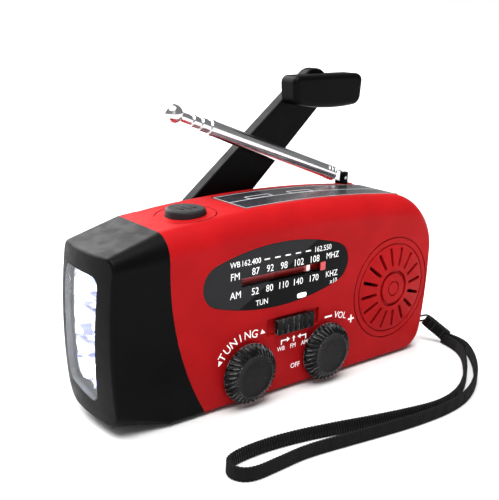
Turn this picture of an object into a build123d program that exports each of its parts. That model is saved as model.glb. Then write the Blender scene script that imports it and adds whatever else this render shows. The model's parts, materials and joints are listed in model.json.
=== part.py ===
"""Emergency radio with a torch head, a solar panel, a hand-crank dynamo and a telescopic aerial.

Millimetres. +X runs along the radio from the torch to the wrist strap, the dial faces -Y, and +Z is up.
The origin is on the flat base, below the middle of the case.
"""
from build123d import *
from math import atan2, cos, degrees, pi, radians, sin, sqrt
import os

os.makedirs("parts", exist_ok=True)

# ---- driving dimensions ------------------------------------------------------------------------
WALL = 2.0
FIT = 0.05                                  # radial clearance of a running fit
GAP = 0.3                                   # clearance between pieces that move past each other
FRONT, BACK = -15.0, 15.0                   # front and back faces of the case
PARTING = 11.0                              # plane between the front shell and the rear cover
TOP, ARCH_X, ARCH_R = 57.2, 2.0, 400.0      # crown of the arched top, and its radius
RIGHT, SIDE_Z, SIDE_R = 61.0, 30.0, 140.0   # right end: where it bulges most, and its radius
CORNER_TOP, CORNER_LOW = 17.5, 8.0          # corners of the right end seen from the front
BROW, BROW_DEPTH = 7.2, 6.5                 # soft edge between the dial face and the top
EDGE_RIGHT, EDGE_LOW, EDGE_BACK = 2.5, 1.8, 3.0
SEAM_X, SEAM_Z, SEAM_R = -45.0, 45.0, 88.0  # the joint line of the torch head sweeps right below SEAM_Z
HEAD_END, HEAD_MID = -64.0, 28.0            # the torch end bulges most at this height
BULGE_SIDE, BULGE_PLAN = 170.0, 60.0        # radii of the torch end seen from the side and from above

SPEAKER = (41.0, 24.9)                      # x, z of the loudspeaker
TUNING = (-19.1, 10.3)                      # x, z of the tuning knob
VOLUME = (11.0, 10.2)                       # x, z of the volume knob
KNOB_R, KNOB_PROUD = 9.2, 3.4
DIAL = (-7.2, 37.9)                         # centre of the dial window
DIAL_HALF_W, DIAL_HALF_H, DIAL_END_R = 27.4, 9.8, 6.5
POINTER_X, POINTER_TRAVEL = 5.8, 24.0       # pointer at rest, and its whole travel
BAND = (-1.5, 21.9)                         # centre of the band switch
BAND_STEP = 2.0
BUTTON = (-30.8, -0.5)                      # x, y of the torch button
BUTTON_R = 5.8
PANEL_X, PANEL_Y = (-15.0, 49.5), (-7.5, 10.4)

HUB = (-32.4, 32.0)                         # x, z of the crank shaft
ARM_ANGLE, ARM_LENGTH = 41.5, 84.6          # the arm stands at this angle above +X
ARM_Y, ARM_THICK = 15.6, 4.4
ARM_ROOT_W, ARM_TIP_R = 17.6, 6.1
GRIP_LENGTH, GRIP_THICK = 30.5, 7.0
AERIAL = (42.5, 12.6, 57.3)                 # the aerial's tilt pivot
AERIAL_ANGLE = 19.8                         # above -X
CLAMP_POINTS = ((65.0, -11.0, 7.6), (68.2, -18.9, 2.6))


def arch_z(x, inset=0.0):
    """Height of the arched top above the base, drawn in by inset."""
    return TOP - ARCH_R + sqrt((ARCH_R - inset) ** 2 - (x - ARCH_X) ** 2)


def side_x(z, inset=0.0):
    """The right end's x at a height, drawn in by inset."""
    return RIGHT - SIDE_R + sqrt((SIDE_R - inset) ** 2 - (z - SIDE_Z) ** 2)


def seam_x(z):
    """The joint line's x at a height."""
    if z >= SEAM_Z:
        return SEAM_X
    return SEAM_X + SEAM_R - sqrt(SEAM_R ** 2 - (SEAM_Z - z) ** 2)


def outline(y, top, right, low, left=SEAM_X):
    """The case seen from the front, in the plane at y, with its sides drawn in by the given margins."""
    with BuildSketch(Plane.XZ.offset(-y)) as face:
        with BuildLine():
            low_x = side_x(low, right)
            high_x = side_x(SIDE_Z, right)
            high_z = arch_z(high_x, top)
            Line((left, low), (low_x, low))
            ThreePointArc((low_x, low), (side_x((low + SIDE_Z) / 2, right), (low + SIDE_Z) / 2), (high_x, SIDE_Z))
            Line((high_x, SIDE_Z), (high_x, high_z))
            ThreePointArc((high_x, high_z), (ARCH_X, TOP - top), (left, arch_z(left, top)))
            Line((left, arch_z(left, top)), (left, low))
        make_face()
        for end, radius in ((-1, CORNER_TOP - (top + right) / 2), (0, CORNER_LOW - low / 2)):
            corners = face.vertices().filter_by(lambda v: v.X > low_x - 1)
            fillet(corners.sort_by(Axis.Y)[end], radius)
    return face.sketch


def head_section(x, front, back, low, high, corners):
    """The torch head across x. Corners are (y, z) radii: front low, back low, back high, front high."""
    (fl_y, fl_z), (bl_y, bl_z), (bh_y, bh_z), (fh_y, fh_z) = corners
    with BuildSketch(Plane.YZ.offset(x)) as face:
        with BuildLine():
            EllipticalCenterArc((front + fl_y, low + fl_z), fl_y, fl_z, start_angle=180, arc_size=90)
            Line((front + fl_y, low), (back - bl_y, low))
            EllipticalCenterArc((back - bl_y, low + bl_z), bl_y, bl_z, start_angle=270, arc_size=90)
            Line((back, low + bl_z), (back, high - bh_z))
            EllipticalCenterArc((back - bh_y, high - bh_z), bh_y, bh_z, start_angle=0, arc_size=90)
            Line((back - bh_y, high), (front + fh_y, high))
            EllipticalCenterArc((front + fh_y, high - fh_z), fh_y, fh_z, start_angle=90, arc_size=90)
            Line((front, high - fh_z), (front, low + fl_z))
        make_face()
    return face.sketch


def barrel(inset):
    """A round barrel whose side is the torch end's bulging surface, drawn in by inset."""
    axis_x = HEAD_END + BULGE_PLAN
    reach = 45.0
    shrink = BULGE_SIDE - inset - sqrt((BULGE_SIDE - inset) ** 2 - reach ** 2)
    with BuildPart() as solid:
        with BuildSketch(Plane.XZ):
            with BuildLine():
                Line((axis_x, HEAD_MID - reach), (HEAD_END + inset + shrink, HEAD_MID - reach))
                ThreePointArc((HEAD_END + inset + shrink, HEAD_MID - reach), (HEAD_END + inset, HEAD_MID),
                              (HEAD_END + inset + shrink, HEAD_MID + reach))
                Line((HEAD_END + inset + shrink, HEAD_MID + reach), (axis_x, HEAD_MID + reach))
                Line((axis_x, HEAD_MID + reach), (axis_x, HEAD_MID - reach))
            make_face()
        revolve(axis=Axis((axis_x, 0, 0), (0, 0, 1)))
    return solid.part


# ---- the case's outer form and its hollow ------------------------------------------------------
with BuildPart() as body_form:
    for step in range(6):
        turn = radians(18 * step)
        draw_in = 1 - cos(turn)
        add(outline(FRONT + BROW_DEPTH * (1 - sin(turn)), BROW * draw_in, EDGE_RIGHT * draw_in, EDGE_LOW * draw_in))
    loft()
    extrude(outline(FRONT + BROW_DEPTH, 0, 0, 0), amount=-(BACK - FRONT - BROW_DEPTH))
    back_edges = body_form.edges().group_by(Axis.Y)[-1].filter_by(lambda e: e.center().X > SEAM_X + 0.1)
    fillet(back_edges, EDGE_BACK)

with BuildPart() as body_hollow:
    add(outline(FRONT + WALL, BROW, EDGE_RIGHT + WALL, EDGE_LOW + WALL, SEAM_X - 5))
    add(outline(FRONT + BROW_DEPTH, WALL, WALL, WALL, SEAM_X - 5))
    loft(ruled=True)
    extrude(outline(FRONT + BROW_DEPTH, WALL, WALL, WALL, SEAM_X - 5), amount=-(BACK - FRONT - BROW_DEPTH - WALL))

with BuildPart() as seam_form:
    with BuildSketch(Plane.XZ):
        with BuildLine():
            Line((SEAM_X, SEAM_Z), (SEAM_X, -1))
            Line((SEAM_X, -1), (seam_x(-1), -1))
            ThreePointArc((seam_x(-1), -1), (seam_x(SEAM_Z / 2), SEAM_Z / 2), (SEAM_X, SEAM_Z))
        make_face()
    extrude(amount=20, both=True)

HEAD_TOP = arch_z(SEAM_X)
with BuildPart() as head_form:
    add(body_form.faces().sort_by(Axis.X)[0])
    add(head_section(HEAD_END - 3, -14.0, 13.5, 4.0, 48.8, ((5, 6), (8, 9), (3.5, 3.5), (2.5, 2.5))))
    loft(ruled=True)
    add(barrel(0), mode=Mode.INTERSECT)
    end_edges = head_form.faces().sort_by(Axis.X)[0].edges()
    fillet(end_edges, 1.0)
    add(body_form.part & seam_form.part)

with BuildPart() as head_hollow:
    add(head_section(SEAM_X - 0.01, FRONT + WALL, BACK - WALL, WALL, HEAD_TOP - WALL,
                     ((4, 2), (2, 2), (2, 2), (5.5, 6.2))))
    add(head_section(HEAD_END - 3, -11.6, 11.1, 6.4, 46.4, ((4, 5), (6, 7), (2, 2), (2, 2))))
    loft(ruled=True)
    add(barrel(2.2), mode=Mode.INTERSECT)
    add(body_hollow.part)


def prism(outline_points, radius, plane, depth):
    """A rounded prism through the given outline, standing depth on both sides of its plane."""
    with BuildPart() as solid:
        with BuildSketch(plane) as face:
            with BuildLine():
                Polyline(*outline_points, close=True)
            make_face()
            fillet(face.vertices(), radius)
        extrude(amount=depth, both=True)
    return solid.part


def torch_window(inset):
    """The torch's tall window, drawn in by inset."""
    points = ((-8.4 + inset, 44.5 - inset), (10.8 - inset, 44.5 - inset), (10.2 - inset, 11.0 + inset),
              (-6.6 + inset, 8.5 + inset))
    return prism(points, 3.0 - inset, Plane.YZ.offset(HEAD_END), 9)


def dial_window(y, inset, thick):
    """The dial's oval of four arcs that run into each other, drawn in by inset, from y towards the back by thick."""
    cx, cz = DIAL
    end_x = DIAL_HALF_W - DIAL_END_R
    long_r = (end_x ** 2 + DIAL_HALF_H ** 2 - DIAL_END_R ** 2) / (2 * (DIAL_HALF_H - DIAL_END_R))
    reach = (DIAL_END_R - inset) / (long_r - DIAL_END_R)
    join_x, join_z = end_x + end_x * reach, (long_r - DIAL_HALF_H) * reach
    half_w, half_h = DIAL_HALF_W - inset, DIAL_HALF_H - inset
    with BuildPart() as solid:
        with BuildSketch(Plane.XZ.offset(-y)) as face:
            with BuildLine():
                for side in (1, -1):
                    ThreePointArc((cx + side * join_x, cz + side * join_z), (cx, cz + side * half_h),
                                  (cx - side * join_x, cz + side * join_z))
                    ThreePointArc((cx - side * join_x, cz + side * join_z), (cx - side * half_w, cz),
                                  (cx - side * join_x, cz - side * join_z))
            make_face()
        extrude(amount=-thick)
    return solid.part


def rod(center, radius, y_low, y_high):
    """A round bar along y between two planes, at an (x, z)."""
    with BuildPart() as solid:
        with BuildSketch(Plane.XZ.offset(-y_low)):
            with Locations(center):
                Circle(radius)
        extrude(amount=-(y_high - y_low))
    return solid.part


def block(x_low, x_high, y_low, y_high, z_low, z_high):
    """A box between six planes."""
    with BuildPart() as solid:
        with Locations(((x_low + x_high) / 2, (y_low + y_high) / 2, (z_low + z_high) / 2)):
            Box(x_high - x_low, y_high - y_low, z_high - z_low)
    return solid.part


def upright(center, radius, z_low, z_high):
    """A round bar along z at an (x, y)."""
    with BuildPart() as solid:
        with BuildSketch(Plane.XY.offset(z_low)):
            with Locations(center):
                Circle(radius)
        extrude(amount=z_high - z_low)
    return solid.part


def along(direction_deg, start, center=HUB):
    """The point at a distance from center in the crank's plane."""
    angle = radians(direction_deg)
    return center[0] + start * cos(angle), center[1] + start * sin(angle)


def finish(builder, name):
    """Label a piece and write its STEP file."""
    builder.part.label = name
    export_step(builder.part, f"parts/{name}.step")


# ---- case shells -------------------------------------------------------------------------------
LUG = (57.3, 8.0)
SCREWS = ((-31, 6), (26, 6.5), (-17, 51), (33, 51))
BOARD_Y = -4.5
BOARD_POSTS = ((-25, 22.5), (20, 21), (19.5, 43.5))
RAIL_Z = 26.7
FERRITE = (2.5, 50.0)                        # y, z of the ferrite rod
FERRITE_RIBS = (-11.5, 26.0)
AERIAL_BASE_R = 2.2
GEAR_PLATE_Y = 5.8
LED_BOARD_X = -50.0
GEAR_POSTS = ((-38.5, 45), (-37, 18.6), (-14.2, 20.5), (-14.2, 45))
BEAM_Z = (18.5, 27.5, 36.5)
SPEAKER_SLOTS = 16

GRILLE_R, GRILLE_RISE = 14.7, 1.2


def grille_dome():
    """The low spherical dome of the loudspeaker grille, with its foot inside the front wall."""
    sphere_r = (GRILLE_R ** 2 + GRILLE_RISE ** 2) / (2 * GRILLE_RISE)
    with BuildPart() as solid:
        with Locations((SPEAKER[0], FRONT - GRILLE_RISE + sphere_r, SPEAKER[1])):
            Sphere(sphere_r)
        add(rod(SPEAKER, GRILLE_R, FRONT - GRILLE_RISE - 1, FRONT + 0.5), mode=Mode.INTERSECT)
    return solid.part


with BuildPart() as front_shell:
    add(body_form.part - seam_form.part)
    add(body_hollow.part, mode=Mode.SUBTRACT)
    split(bisect_by=Plane.XZ.offset(-PARTING), keep=Keep.TOP)
    # loudspeaker grille: a low dome with two ring grooves round it, sixteen radial slots and a stepped hub
    add(grille_dome())
    with BuildSketch(Plane.XZ.offset(-FRONT)):
        with Locations(SPEAKER):
            Circle(17.3)
            Circle(16.8, mode=Mode.SUBTRACT)
            Circle(15.2)
            Circle(GRILLE_R, mode=Mode.SUBTRACT)
    extrude(amount=-0.6, mode=Mode.SUBTRACT)
    with BuildSketch(Plane.XZ.offset(-FRONT + GRILLE_RISE)):
        with Locations(SPEAKER):
            Circle(6.2)
            Circle(5.0, mode=Mode.SUBTRACT)
    extrude(amount=-GRILLE_RISE, mode=Mode.SUBTRACT)
    with BuildSketch(Plane.XZ.offset(-FRONT + GRILLE_RISE)):
        with Locations(SPEAKER):
            Circle(2.6)
            Circle(2.1, mode=Mode.SUBTRACT)
    extrude(amount=-0.6, mode=Mode.SUBTRACT)
    with BuildSketch(Plane.XZ.offset(-FRONT + GRILLE_RISE)):
        with Locations(SPEAKER):
            with PolarLocations(10.7, SPEAKER_SLOTS, start_angle=6):
                SlotOverall(6.4, 1.15)
    extrude(amount=-GRILLE_RISE - WALL * 2, mode=Mode.SUBTRACT)
    # dial window, band switch slot, knob bores, button bore, solar panel bed
    add(dial_window(FRONT, 0.0, 1.2), mode=Mode.SUBTRACT)
    add(dial_window(FRONT, 2.0, 4.0), mode=Mode.SUBTRACT)
    add(block(BAND[0] - 10.35, BAND[0] + 10.35, FRONT - 1, FRONT + 1.2, BAND[1] - 2.75, BAND[1] + 2.75),
        mode=Mode.SUBTRACT)
    add(block(BAND[0] - 5, BAND[0] + 5, FRONT, FRONT + 4, BAND[1] - 1.2, BAND[1] + 1.2), mode=Mode.SUBTRACT)
    for centre in (TUNING, VOLUME):
        add(rod(centre, 3.4, FRONT - 1, FRONT + 4), mode=Mode.SUBTRACT)
    with BuildSketch(Plane.XY.offset(arch_z(BUTTON[0]) + 1)):
        with Locations(BUTTON):
            Circle(9.0)
            Circle(8.6, mode=Mode.SUBTRACT)
    extrude(amount=-1.8, mode=Mode.SUBTRACT)
    add(upright(BUTTON, BUTTON_R + 0.15, 50, 60), mode=Mode.SUBTRACT)
    with BuildSketch(Plane.XZ.offset(-PANEL_Y[0])):
        with BuildLine():
            panel_ends = [(x, arch_z(x, 1.0)) for x in (PANEL_X[0], sum(PANEL_X) / 2, PANEL_X[1])]
            ThreePointArc(*panel_ends)
            Polyline(panel_ends[2], (PANEL_X[1], 60), (PANEL_X[0], 60), panel_ends[0])
        make_face()
    extrude(amount=-(PANEL_Y[1] - PANEL_Y[0]), mode=Mode.SUBTRACT)
    add(block(0.1, 2.9, FRONT + 1.2, FRONT + 5, 29.3, 31.1), mode=Mode.SUBTRACT)
    # cup for the strap's bar in the lower right end
    add(block(LUG[0] - 4.5, 60, -14, -4, 1, LUG[1] + 5) & body_form.part)
    add(block(LUG[0] - 3, 70, -12.5, -5.5, LUG[1] - 3.5, LUG[1] + 3.5), mode=Mode.SUBTRACT)
    # board posts, the pointer rail's two bosses, ribs that carry the ferrite rod, the aerial's socket
    for centre in BOARD_POSTS:
        add(rod(centre, 1.8, FRONT + WALL - 0.3, BOARD_Y))
        add(rod(centre, 0.8, BOARD_Y - 4, BOARD_Y), mode=Mode.SUBTRACT)
    for x in (-38.4, 23.9):
        add(block(x, x + 1.5, FRONT + WALL - 0.3, FRONT + 6.2, RAIL_Z - 1.3, RAIL_Z + 1.3))
    for x in FERRITE_RIBS:
        add(block(x, x + 1.5, -1.5, 6.5, 46.8, 55.4))
        add(block(x - 1, x + 3, FERRITE[0] - 2.5, FERRITE[0] + 2.5, 46, FERRITE[1]), mode=Mode.SUBTRACT)
        with BuildSketch(Plane.YZ.offset(x - 1)):
            with Locations(FERRITE):
                Circle(2.5)
        extrude(amount=4, mode=Mode.SUBTRACT)
    add(upright(AERIAL[:2], AERIAL_BASE_R + FIT, 48.6, 60), mode=Mode.SUBTRACT)
    # screw posts
    for centre in SCREWS:
        add(rod(centre, 2.8, FRONT + WALL - 0.3, PARTING))
        add(rod(centre, 1.1, 1, PARTING), mode=Mode.SUBTRACT)
    add(dial_window(FRONT, 2.0, 4.0), mode=Mode.SUBTRACT)
finish(front_shell, "front_shell")

with BuildPart() as rear_cover:
    add(body_form.part - seam_form.part)
    add(body_hollow.part, mode=Mode.SUBTRACT)
    split(bisect_by=Plane.XZ.offset(-PARTING), keep=Keep.BOTTOM)
    # recess and bore of the crank
    add(rod(HUB, 9.2, BACK - 1.2, BACK + 1), mode=Mode.SUBTRACT)
    add(rod(HUB, 2.5 + FIT, PARTING, BACK), mode=Mode.SUBTRACT)
    for centre in SCREWS:
        add(rod(centre, 2.8, PARTING, BACK - 0.5))
        add(rod(centre, 1.4, PARTING, BACK + 1), mode=Mode.SUBTRACT)
        add(rod(centre, 2.4, BACK - 1.6, BACK + 1), mode=Mode.SUBTRACT)
    # charging sockets
    add(block(-8.2, 6.2, BACK - 3, BACK + 1, 9.9, 16.1), mode=Mode.SUBTRACT)
    add(block(10.0, 18.6, BACK - 3, BACK + 1, 9.9, 13.3), mode=Mode.SUBTRACT)
    add(block(-11, 21, BACK - 0.9, BACK + 1, 7.5, 18.5), mode=Mode.SUBTRACT)
    # posts of the gear plate, and the aerial's socket
    for centre in GEAR_POSTS:
        add(rod(centre, 2.0, GEAR_PLATE_Y, BACK - 1))
    add(block(AERIAL[0] - 3.8, AERIAL[0] + 3.8, PARTING, BACK - 1, 46.8, 55))
    add(upright(AERIAL[:2], AERIAL_BASE_R + FIT, 48.6, 60), mode=Mode.SUBTRACT)
finish(rear_cover, "rear_cover")

with BuildPart() as head_shell:
    add(head_form.part)
    add(head_hollow.part, mode=Mode.SUBTRACT)
    add(torch_window(0), mode=Mode.SUBTRACT)
    # lugs that the torch's board rests against
    add(block(LED_BOARD_X + 1.4, LED_BOARD_X + 3.4, -14, -9, 20, 35))
    add(block(LED_BOARD_X + 1.4, LED_BOARD_X + 3.4, 8, 14, 20, 35))
finish(head_shell, "head_shell")

# ---- torch -------------------------------------------------------------------------------------
with BuildPart() as torch_lens:
    add(head_form.part & torch_window(0.1))
    add(barrel(1.6), mode=Mode.SUBTRACT)
finish(torch_lens, "torch_lens")

with BuildPart() as torch_reflector:
    add(prism(((-7.6, 43.6), (10.0, 43.6), (9.4, 12.0), (-6.0, 9.6)), 3, Plane.YZ.offset(-56), 6))
    add(barrel(2.4), mode=Mode.INTERSECT)
    for z in BEAM_Z:
        with Locations(Plane((-63, 1.5, z), z_dir=(1, 0, 0))):
            Cone(9.5, 2.9, 12.4, align=(Align.CENTER, Align.CENTER, Align.MIN), mode=Mode.SUBTRACT)
        with Locations(Plane((-52, 1.5, z), z_dir=(1, 0, 0))):
            Cylinder(2.9, 6, mode=Mode.SUBTRACT)
finish(torch_reflector, "torch_reflector")

with BuildPart() as torch_leds:
    for z in BEAM_Z:
        with Locations(Plane((-55.2, 1.5, z), z_dir=(1, 0, 0))):
            Cylinder(2.4, 5.2, align=(Align.CENTER, Align.CENTER, Align.MIN))
        with Locations((-55.2, 1.5, z)):
            Sphere(2.4)
finish(torch_leds, "torch_leds")

with BuildPart() as led_board:
    add(block(LED_BOARD_X, LED_BOARD_X + 1.4, -11, 11, 12, 42))
finish(led_board, "led_board")

BUTTON_TOP = arch_z(BUTTON[0]) + 1.9
with BuildPart() as torch_button:
    add(upright(BUTTON, BUTTON_R, BUTTON_TOP - 4.6, BUTTON_TOP))
    fillet(torch_button.faces().sort_by(Axis.Z)[-1].edges(), 0.9)
    add(upright(BUTTON, 6.6, BUTTON_TOP - 5.6, BUTTON_TOP - 4.6))
    add(upright(BUTTON, 1.6, BUTTON_TOP - 7.0, BUTTON_TOP - 5.6))
finish(torch_button, "torch_button")

with BuildPart() as torch_switch:
    add(block(BUTTON[0] - 3.4, BUTTON[0] + 3.4, BUTTON[1] - 3.4, BUTTON[1] + 3.4, 43.5, BUTTON_TOP - 8.4))
    add(block(BUTTON[0] - 5, BUTTON[0] + 5, BUTTON[1] - 5, BUTTON[1] + 5, 42.1, 43.5))
finish(torch_switch, "torch_switch")

# ---- solar panel -------------------------------------------------------------------------------
with BuildPart() as solar_panel:
    with BuildSketch(Plane.XZ.offset(-(PANEL_Y[0] + 0.1))):
        with BuildLine():
            bed = [(x, arch_z(x, 0.97)) for x in (PANEL_X[0] + 0.1, sum(PANEL_X) / 2, PANEL_X[1] - 0.1)]
            skin = [(x, arch_z(x, 0.1)) for x in (PANEL_X[1] - 0.1, sum(PANEL_X) / 2, PANEL_X[0] + 0.1)]
            ThreePointArc(*bed)
            Line(bed[2], skin[0])
            ThreePointArc(*skin)
            Line(skin[2], bed[0])
        make_face()
    extrude(amount=-(PANEL_Y[1] - PANEL_Y[0] - 0.2))
finish(solar_panel, "solar_panel")

# ---- dial --------------------------------------------------------------------------------------
with BuildPart() as dial_lens:
    add(dial_window(FRONT + 0.1, 0.1, 1.1))
finish(dial_lens, "dial_lens")

SLIT = (DIAL[0] - 14.2, DIAL[0] + 17.8, 36.3, 38.9)
with BuildPart() as dial_plate:
    add(dial_window(FRONT + 1.3, 2.1, 0.8))
    add(block(SLIT[0], SLIT[1], FRONT, FRONT + 3, SLIT[2], SLIT[3]), mode=Mode.SUBTRACT)
    add(block(-0.4, 3.4, FRONT, FRONT + 3, 29.2, 31.2), mode=Mode.SUBTRACT)
finish(dial_plate, "dial_plate")

with BuildPart() as dial_strip:
    add(block(SLIT[0] - 1, SLIT[1] + 1, FRONT + 3.0, FRONT + 3.6, SLIT[2] - 1, SLIT[3] + 1))
    for x in (SLIT[0] - 1, SLIT[1] + 0.3):
        add(block(x, x + 0.7, FRONT + 2.1, FRONT + 3.0, SLIT[2] - 1, SLIT[3] + 1))
finish(dial_strip, "dial_strip")

DRUM_R = POINTER_TRAVEL / pi
with BuildPart() as dial_pointer:
    add(block(POINTER_X - 0.45, POINTER_X + 0.45, FRONT + 2.3, FRONT + 2.8, SLIT[2] - 1.2, SLIT[3] + 1.2))
    add(block(POINTER_X - 0.45, POINTER_X + 0.45, FRONT + 2.3, FRONT + 4.3, SLIT[2] - 2.6, SLIT[2] - 1.2))
    add(block(POINTER_X - 0.45, POINTER_X + 0.45, FRONT + 3.8, FRONT + 4.3, RAIL_Z, SLIT[2] - 1.2))
    add(block(POINTER_X - 14, POINTER_X + 0.45, FRONT + 3.8, FRONT + 6.2, RAIL_Z - 1.2, RAIL_Z + 1.2))
    add(block(-50, 50, FRONT + 4.4, FRONT + 5.6, RAIL_Z - 0.6, RAIL_Z + 0.6), mode=Mode.SUBTRACT)
finish(dial_pointer, "dial_pointer")

with BuildPart() as pointer_rail:
    add(block(-36.9, 23.9, FRONT + 4.45, FRONT + 5.55, RAIL_Z - 0.55, RAIL_Z + 0.55))
finish(pointer_rail, "pointer_rail")

with BuildPart() as dial_led:
    add(block(0.1, 2.9, FRONT + 1.5, FRONT + 3.3, 29.3, 31.1))
    fillet(dial_led.edges().filter_by(Axis.Y), 0.8)
finish(dial_led, "dial_led")

# ---- knobs, their shafts and what they turn ----------------------------------------------------
FLUTES = 36


def knob(builder_centre, radius, marked):
    """A fluted knob with a plain raised face and a bore for its shaft."""
    face_y = FRONT - KNOB_PROUD
    with BuildPart() as solid:
        add(rod(builder_centre, radius, face_y, FRONT - GAP))
        fillet(solid.faces().sort_by(Axis.Y)[0].edges(), 1.3)
        with BuildSketch(Plane.XZ.offset(-FRONT + GAP)):
            with Locations(builder_centre):
                with PolarLocations(radius + 0.25, FLUTES):
                    Circle(0.52)
        extrude(amount=KNOB_PROUD, mode=Mode.SUBTRACT)
        with BuildSketch(Plane.XZ.offset(-face_y)):
            with Locations(builder_centre):
                Circle(6.9)
                Circle(6.5, mode=Mode.SUBTRACT)
        extrude(amount=-0.4, mode=Mode.SUBTRACT)
        if marked:
            with BuildSketch(Plane.XZ.offset(-face_y)):
                with Locations((builder_centre[0] - 3.2, builder_centre[1] + 3.4)):
                    Circle(0.6)
            extrude(amount=-0.3, mode=Mode.SUBTRACT)
        add(rod(builder_centre, 3.0, FRONT - GAP, FRONT + 3.0))
        add(rod(builder_centre, 1.5, FRONT - 2, FRONT + 4), mode=Mode.SUBTRACT)
    return solid.part


with BuildPart() as tuning_knob:
    add(knob(TUNING, KNOB_R, False))
finish(tuning_knob, "tuning_knob")

with BuildPart() as volume_knob:
    add(knob(VOLUME, KNOB_R, True))
finish(volume_knob, "volume_knob")

with BuildPart() as tuning_shaft:
    add(rod(TUNING, 1.5, FRONT - 2, BOARD_Y - 0.2))
    add(rod(TUNING, DRUM_R - 0.6, FRONT + 3.8, FRONT + 4.8))
finish(tuning_shaft, "tuning_shaft")

with BuildPart() as volume_shaft:
    add(rod(VOLUME, 1.5, FRONT - 2, BOARD_Y - 0.2))
finish(volume_shaft, "volume_shaft")

with BuildPart() as tuning_capacitor:
    add(block(TUNING[0] - 7.5, TUNING[0] + 7.5, FRONT + 6.2, BOARD_Y, 3.0, TUNING[1] + 7.5))
    add(rod(TUNING, 1.5 + FIT, FRONT, BOARD_Y - 0.1), mode=Mode.SUBTRACT)
finish(tuning_capacitor, "tuning_capacitor")

with BuildPart() as volume_control:
    add(rod(VOLUME, 6.9, FRONT + 6.2, BOARD_Y))
    add(rod(VOLUME, 1.5 + FIT, FRONT, BOARD_Y - 0.1), mode=Mode.SUBTRACT)
finish(volume_control, "volume_control")

# ---- band switch -------------------------------------------------------------------------------
with BuildPart() as band_slider:
    add(block(BAND[0] - 7.3, BAND[0] + 7.3, FRONT - 0.9, FRONT + 1.0, BAND[1] - 2.5, BAND[1] + 2.5))
    fillet(band_slider.edges().filter_by(Axis.X).group_by(Axis.Y)[0], 0.4)
    for rib in range(6):
        x = BAND[0] - 5.25 + rib * 2.1
        add(block(x - 0.45, x + 0.45, FRONT - 1.5, FRONT - 0.1, BAND[1] - 3, BAND[1] + 3), mode=Mode.SUBTRACT)
    add(block(BAND[0] - 2.4, BAND[0] + 2.4, FRONT + 1.0, FRONT + 4.0, BAND[1] - 0.9, BAND[1] + 0.9))
finish(band_slider, "band_slider")

with BuildPart() as band_switch:
    add(block(BAND[0] - 8, BAND[0] + 8, FRONT + 4.3, BOARD_Y, BAND[1] - 2.2, BAND[1] + 2.2))
finish(band_switch, "band_switch")

# ---- board, battery, loudspeaker and ferrite aerial --------------------------------------------
with BuildPart() as main_board:
    add(block(-27.5, 21.9, BOARD_Y, BOARD_Y + 1.5, 3.0, 26.0))
    add(block(-9.0, 21.9, BOARD_Y, BOARD_Y + 1.5, 26.0, 46.0))
    for centre in BOARD_POSTS:
        add(rod(centre, 0.9, BOARD_Y - 1, BOARD_Y + 3), mode=Mode.SUBTRACT)
finish(main_board, "main_board")

with BuildPart() as board_screws:
    for centre in BOARD_POSTS:
        add(rod(centre, 1.5, BOARD_Y + 1.5, BOARD_Y + 2.4))
        add(rod(centre, 0.8, BOARD_Y - 2.5, BOARD_Y + 1.5))
finish(board_screws, "board_screws")

with BuildPart() as board_chips:
    for x, z, half_w, half_h in ((-3, 38, 4, 3), (8, 38, 3, 3), (13, 29, 2.5, 3.5)):
        add(block(x - half_w, x + half_w, BOARD_Y + 1.5, BOARD_Y + 3.2, z - half_h, z + half_h))
finish(board_chips, "board_chips")

with BuildPart() as battery:
    add(block(-8.5, 27.5, BACK - WALL - 10, BACK - WALL, 20.5, 34.5))
    fillet(battery.edges(), 1.5)
finish(battery, "battery")

SPEAKER_Y = FRONT + WALL + 0.1
with BuildPart() as speaker_frame:
    with BuildSketch(Plane.XZ.offset(-SPEAKER_Y)):
        with Locations(SPEAKER):
            Circle(15.0)
            Circle(14.2, mode=Mode.SUBTRACT)
    extrude(amount=-1.5)
    with Locations(Plane((SPEAKER[0], SPEAKER_Y + 1.5, SPEAKER[1]), z_dir=(0, 1, 0))):
        Cone(15.0, 9.5, 4.5, align=(Align.CENTER, Align.CENTER, Align.MIN))
        Cone(14.4, 8.5, 4.5, align=(Align.CENTER, Align.CENTER, Align.MIN), mode=Mode.SUBTRACT)
finish(speaker_frame, "speaker_frame")

with BuildPart() as speaker_cone:
    with Locations(Plane((SPEAKER[0], SPEAKER_Y + 0.6, SPEAKER[1]), z_dir=(0, 1, 0))):
        Cone(13.9, 5.0, 4.2, align=(Align.CENTER, Align.CENTER, Align.MIN))
        Cone(13.2, 4.3, 4.2, align=(Align.CENTER, Align.CENTER, Align.MIN), mode=Mode.SUBTRACT)
    add(rod(SPEAKER, 5.0, SPEAKER_Y + 4.4, SPEAKER_Y + 4.8))
finish(speaker_cone, "speaker_cone")

with BuildPart() as speaker_magnet:
    add(rod(SPEAKER, 9.5, SPEAKER_Y + 6.0, SPEAKER_Y + 9.5))
finish(speaker_magnet, "speaker_magnet")

with BuildPart() as ferrite_rod:
    with BuildSketch(Plane.YZ.offset(-13.5)):
        with Locations(FERRITE):
            Circle(2.5)
    extrude(amount=43)
finish(ferrite_rod, "ferrite_rod")

with BuildPart() as ferrite_coil:
    with BuildSketch(Plane.YZ.offset(-6)):
        with Locations(FERRITE):
            Circle(3.2)
            Circle(2.5, mode=Mode.SUBTRACT)
    extrude(amount=18)
finish(ferrite_coil, "ferrite_coil")

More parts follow.
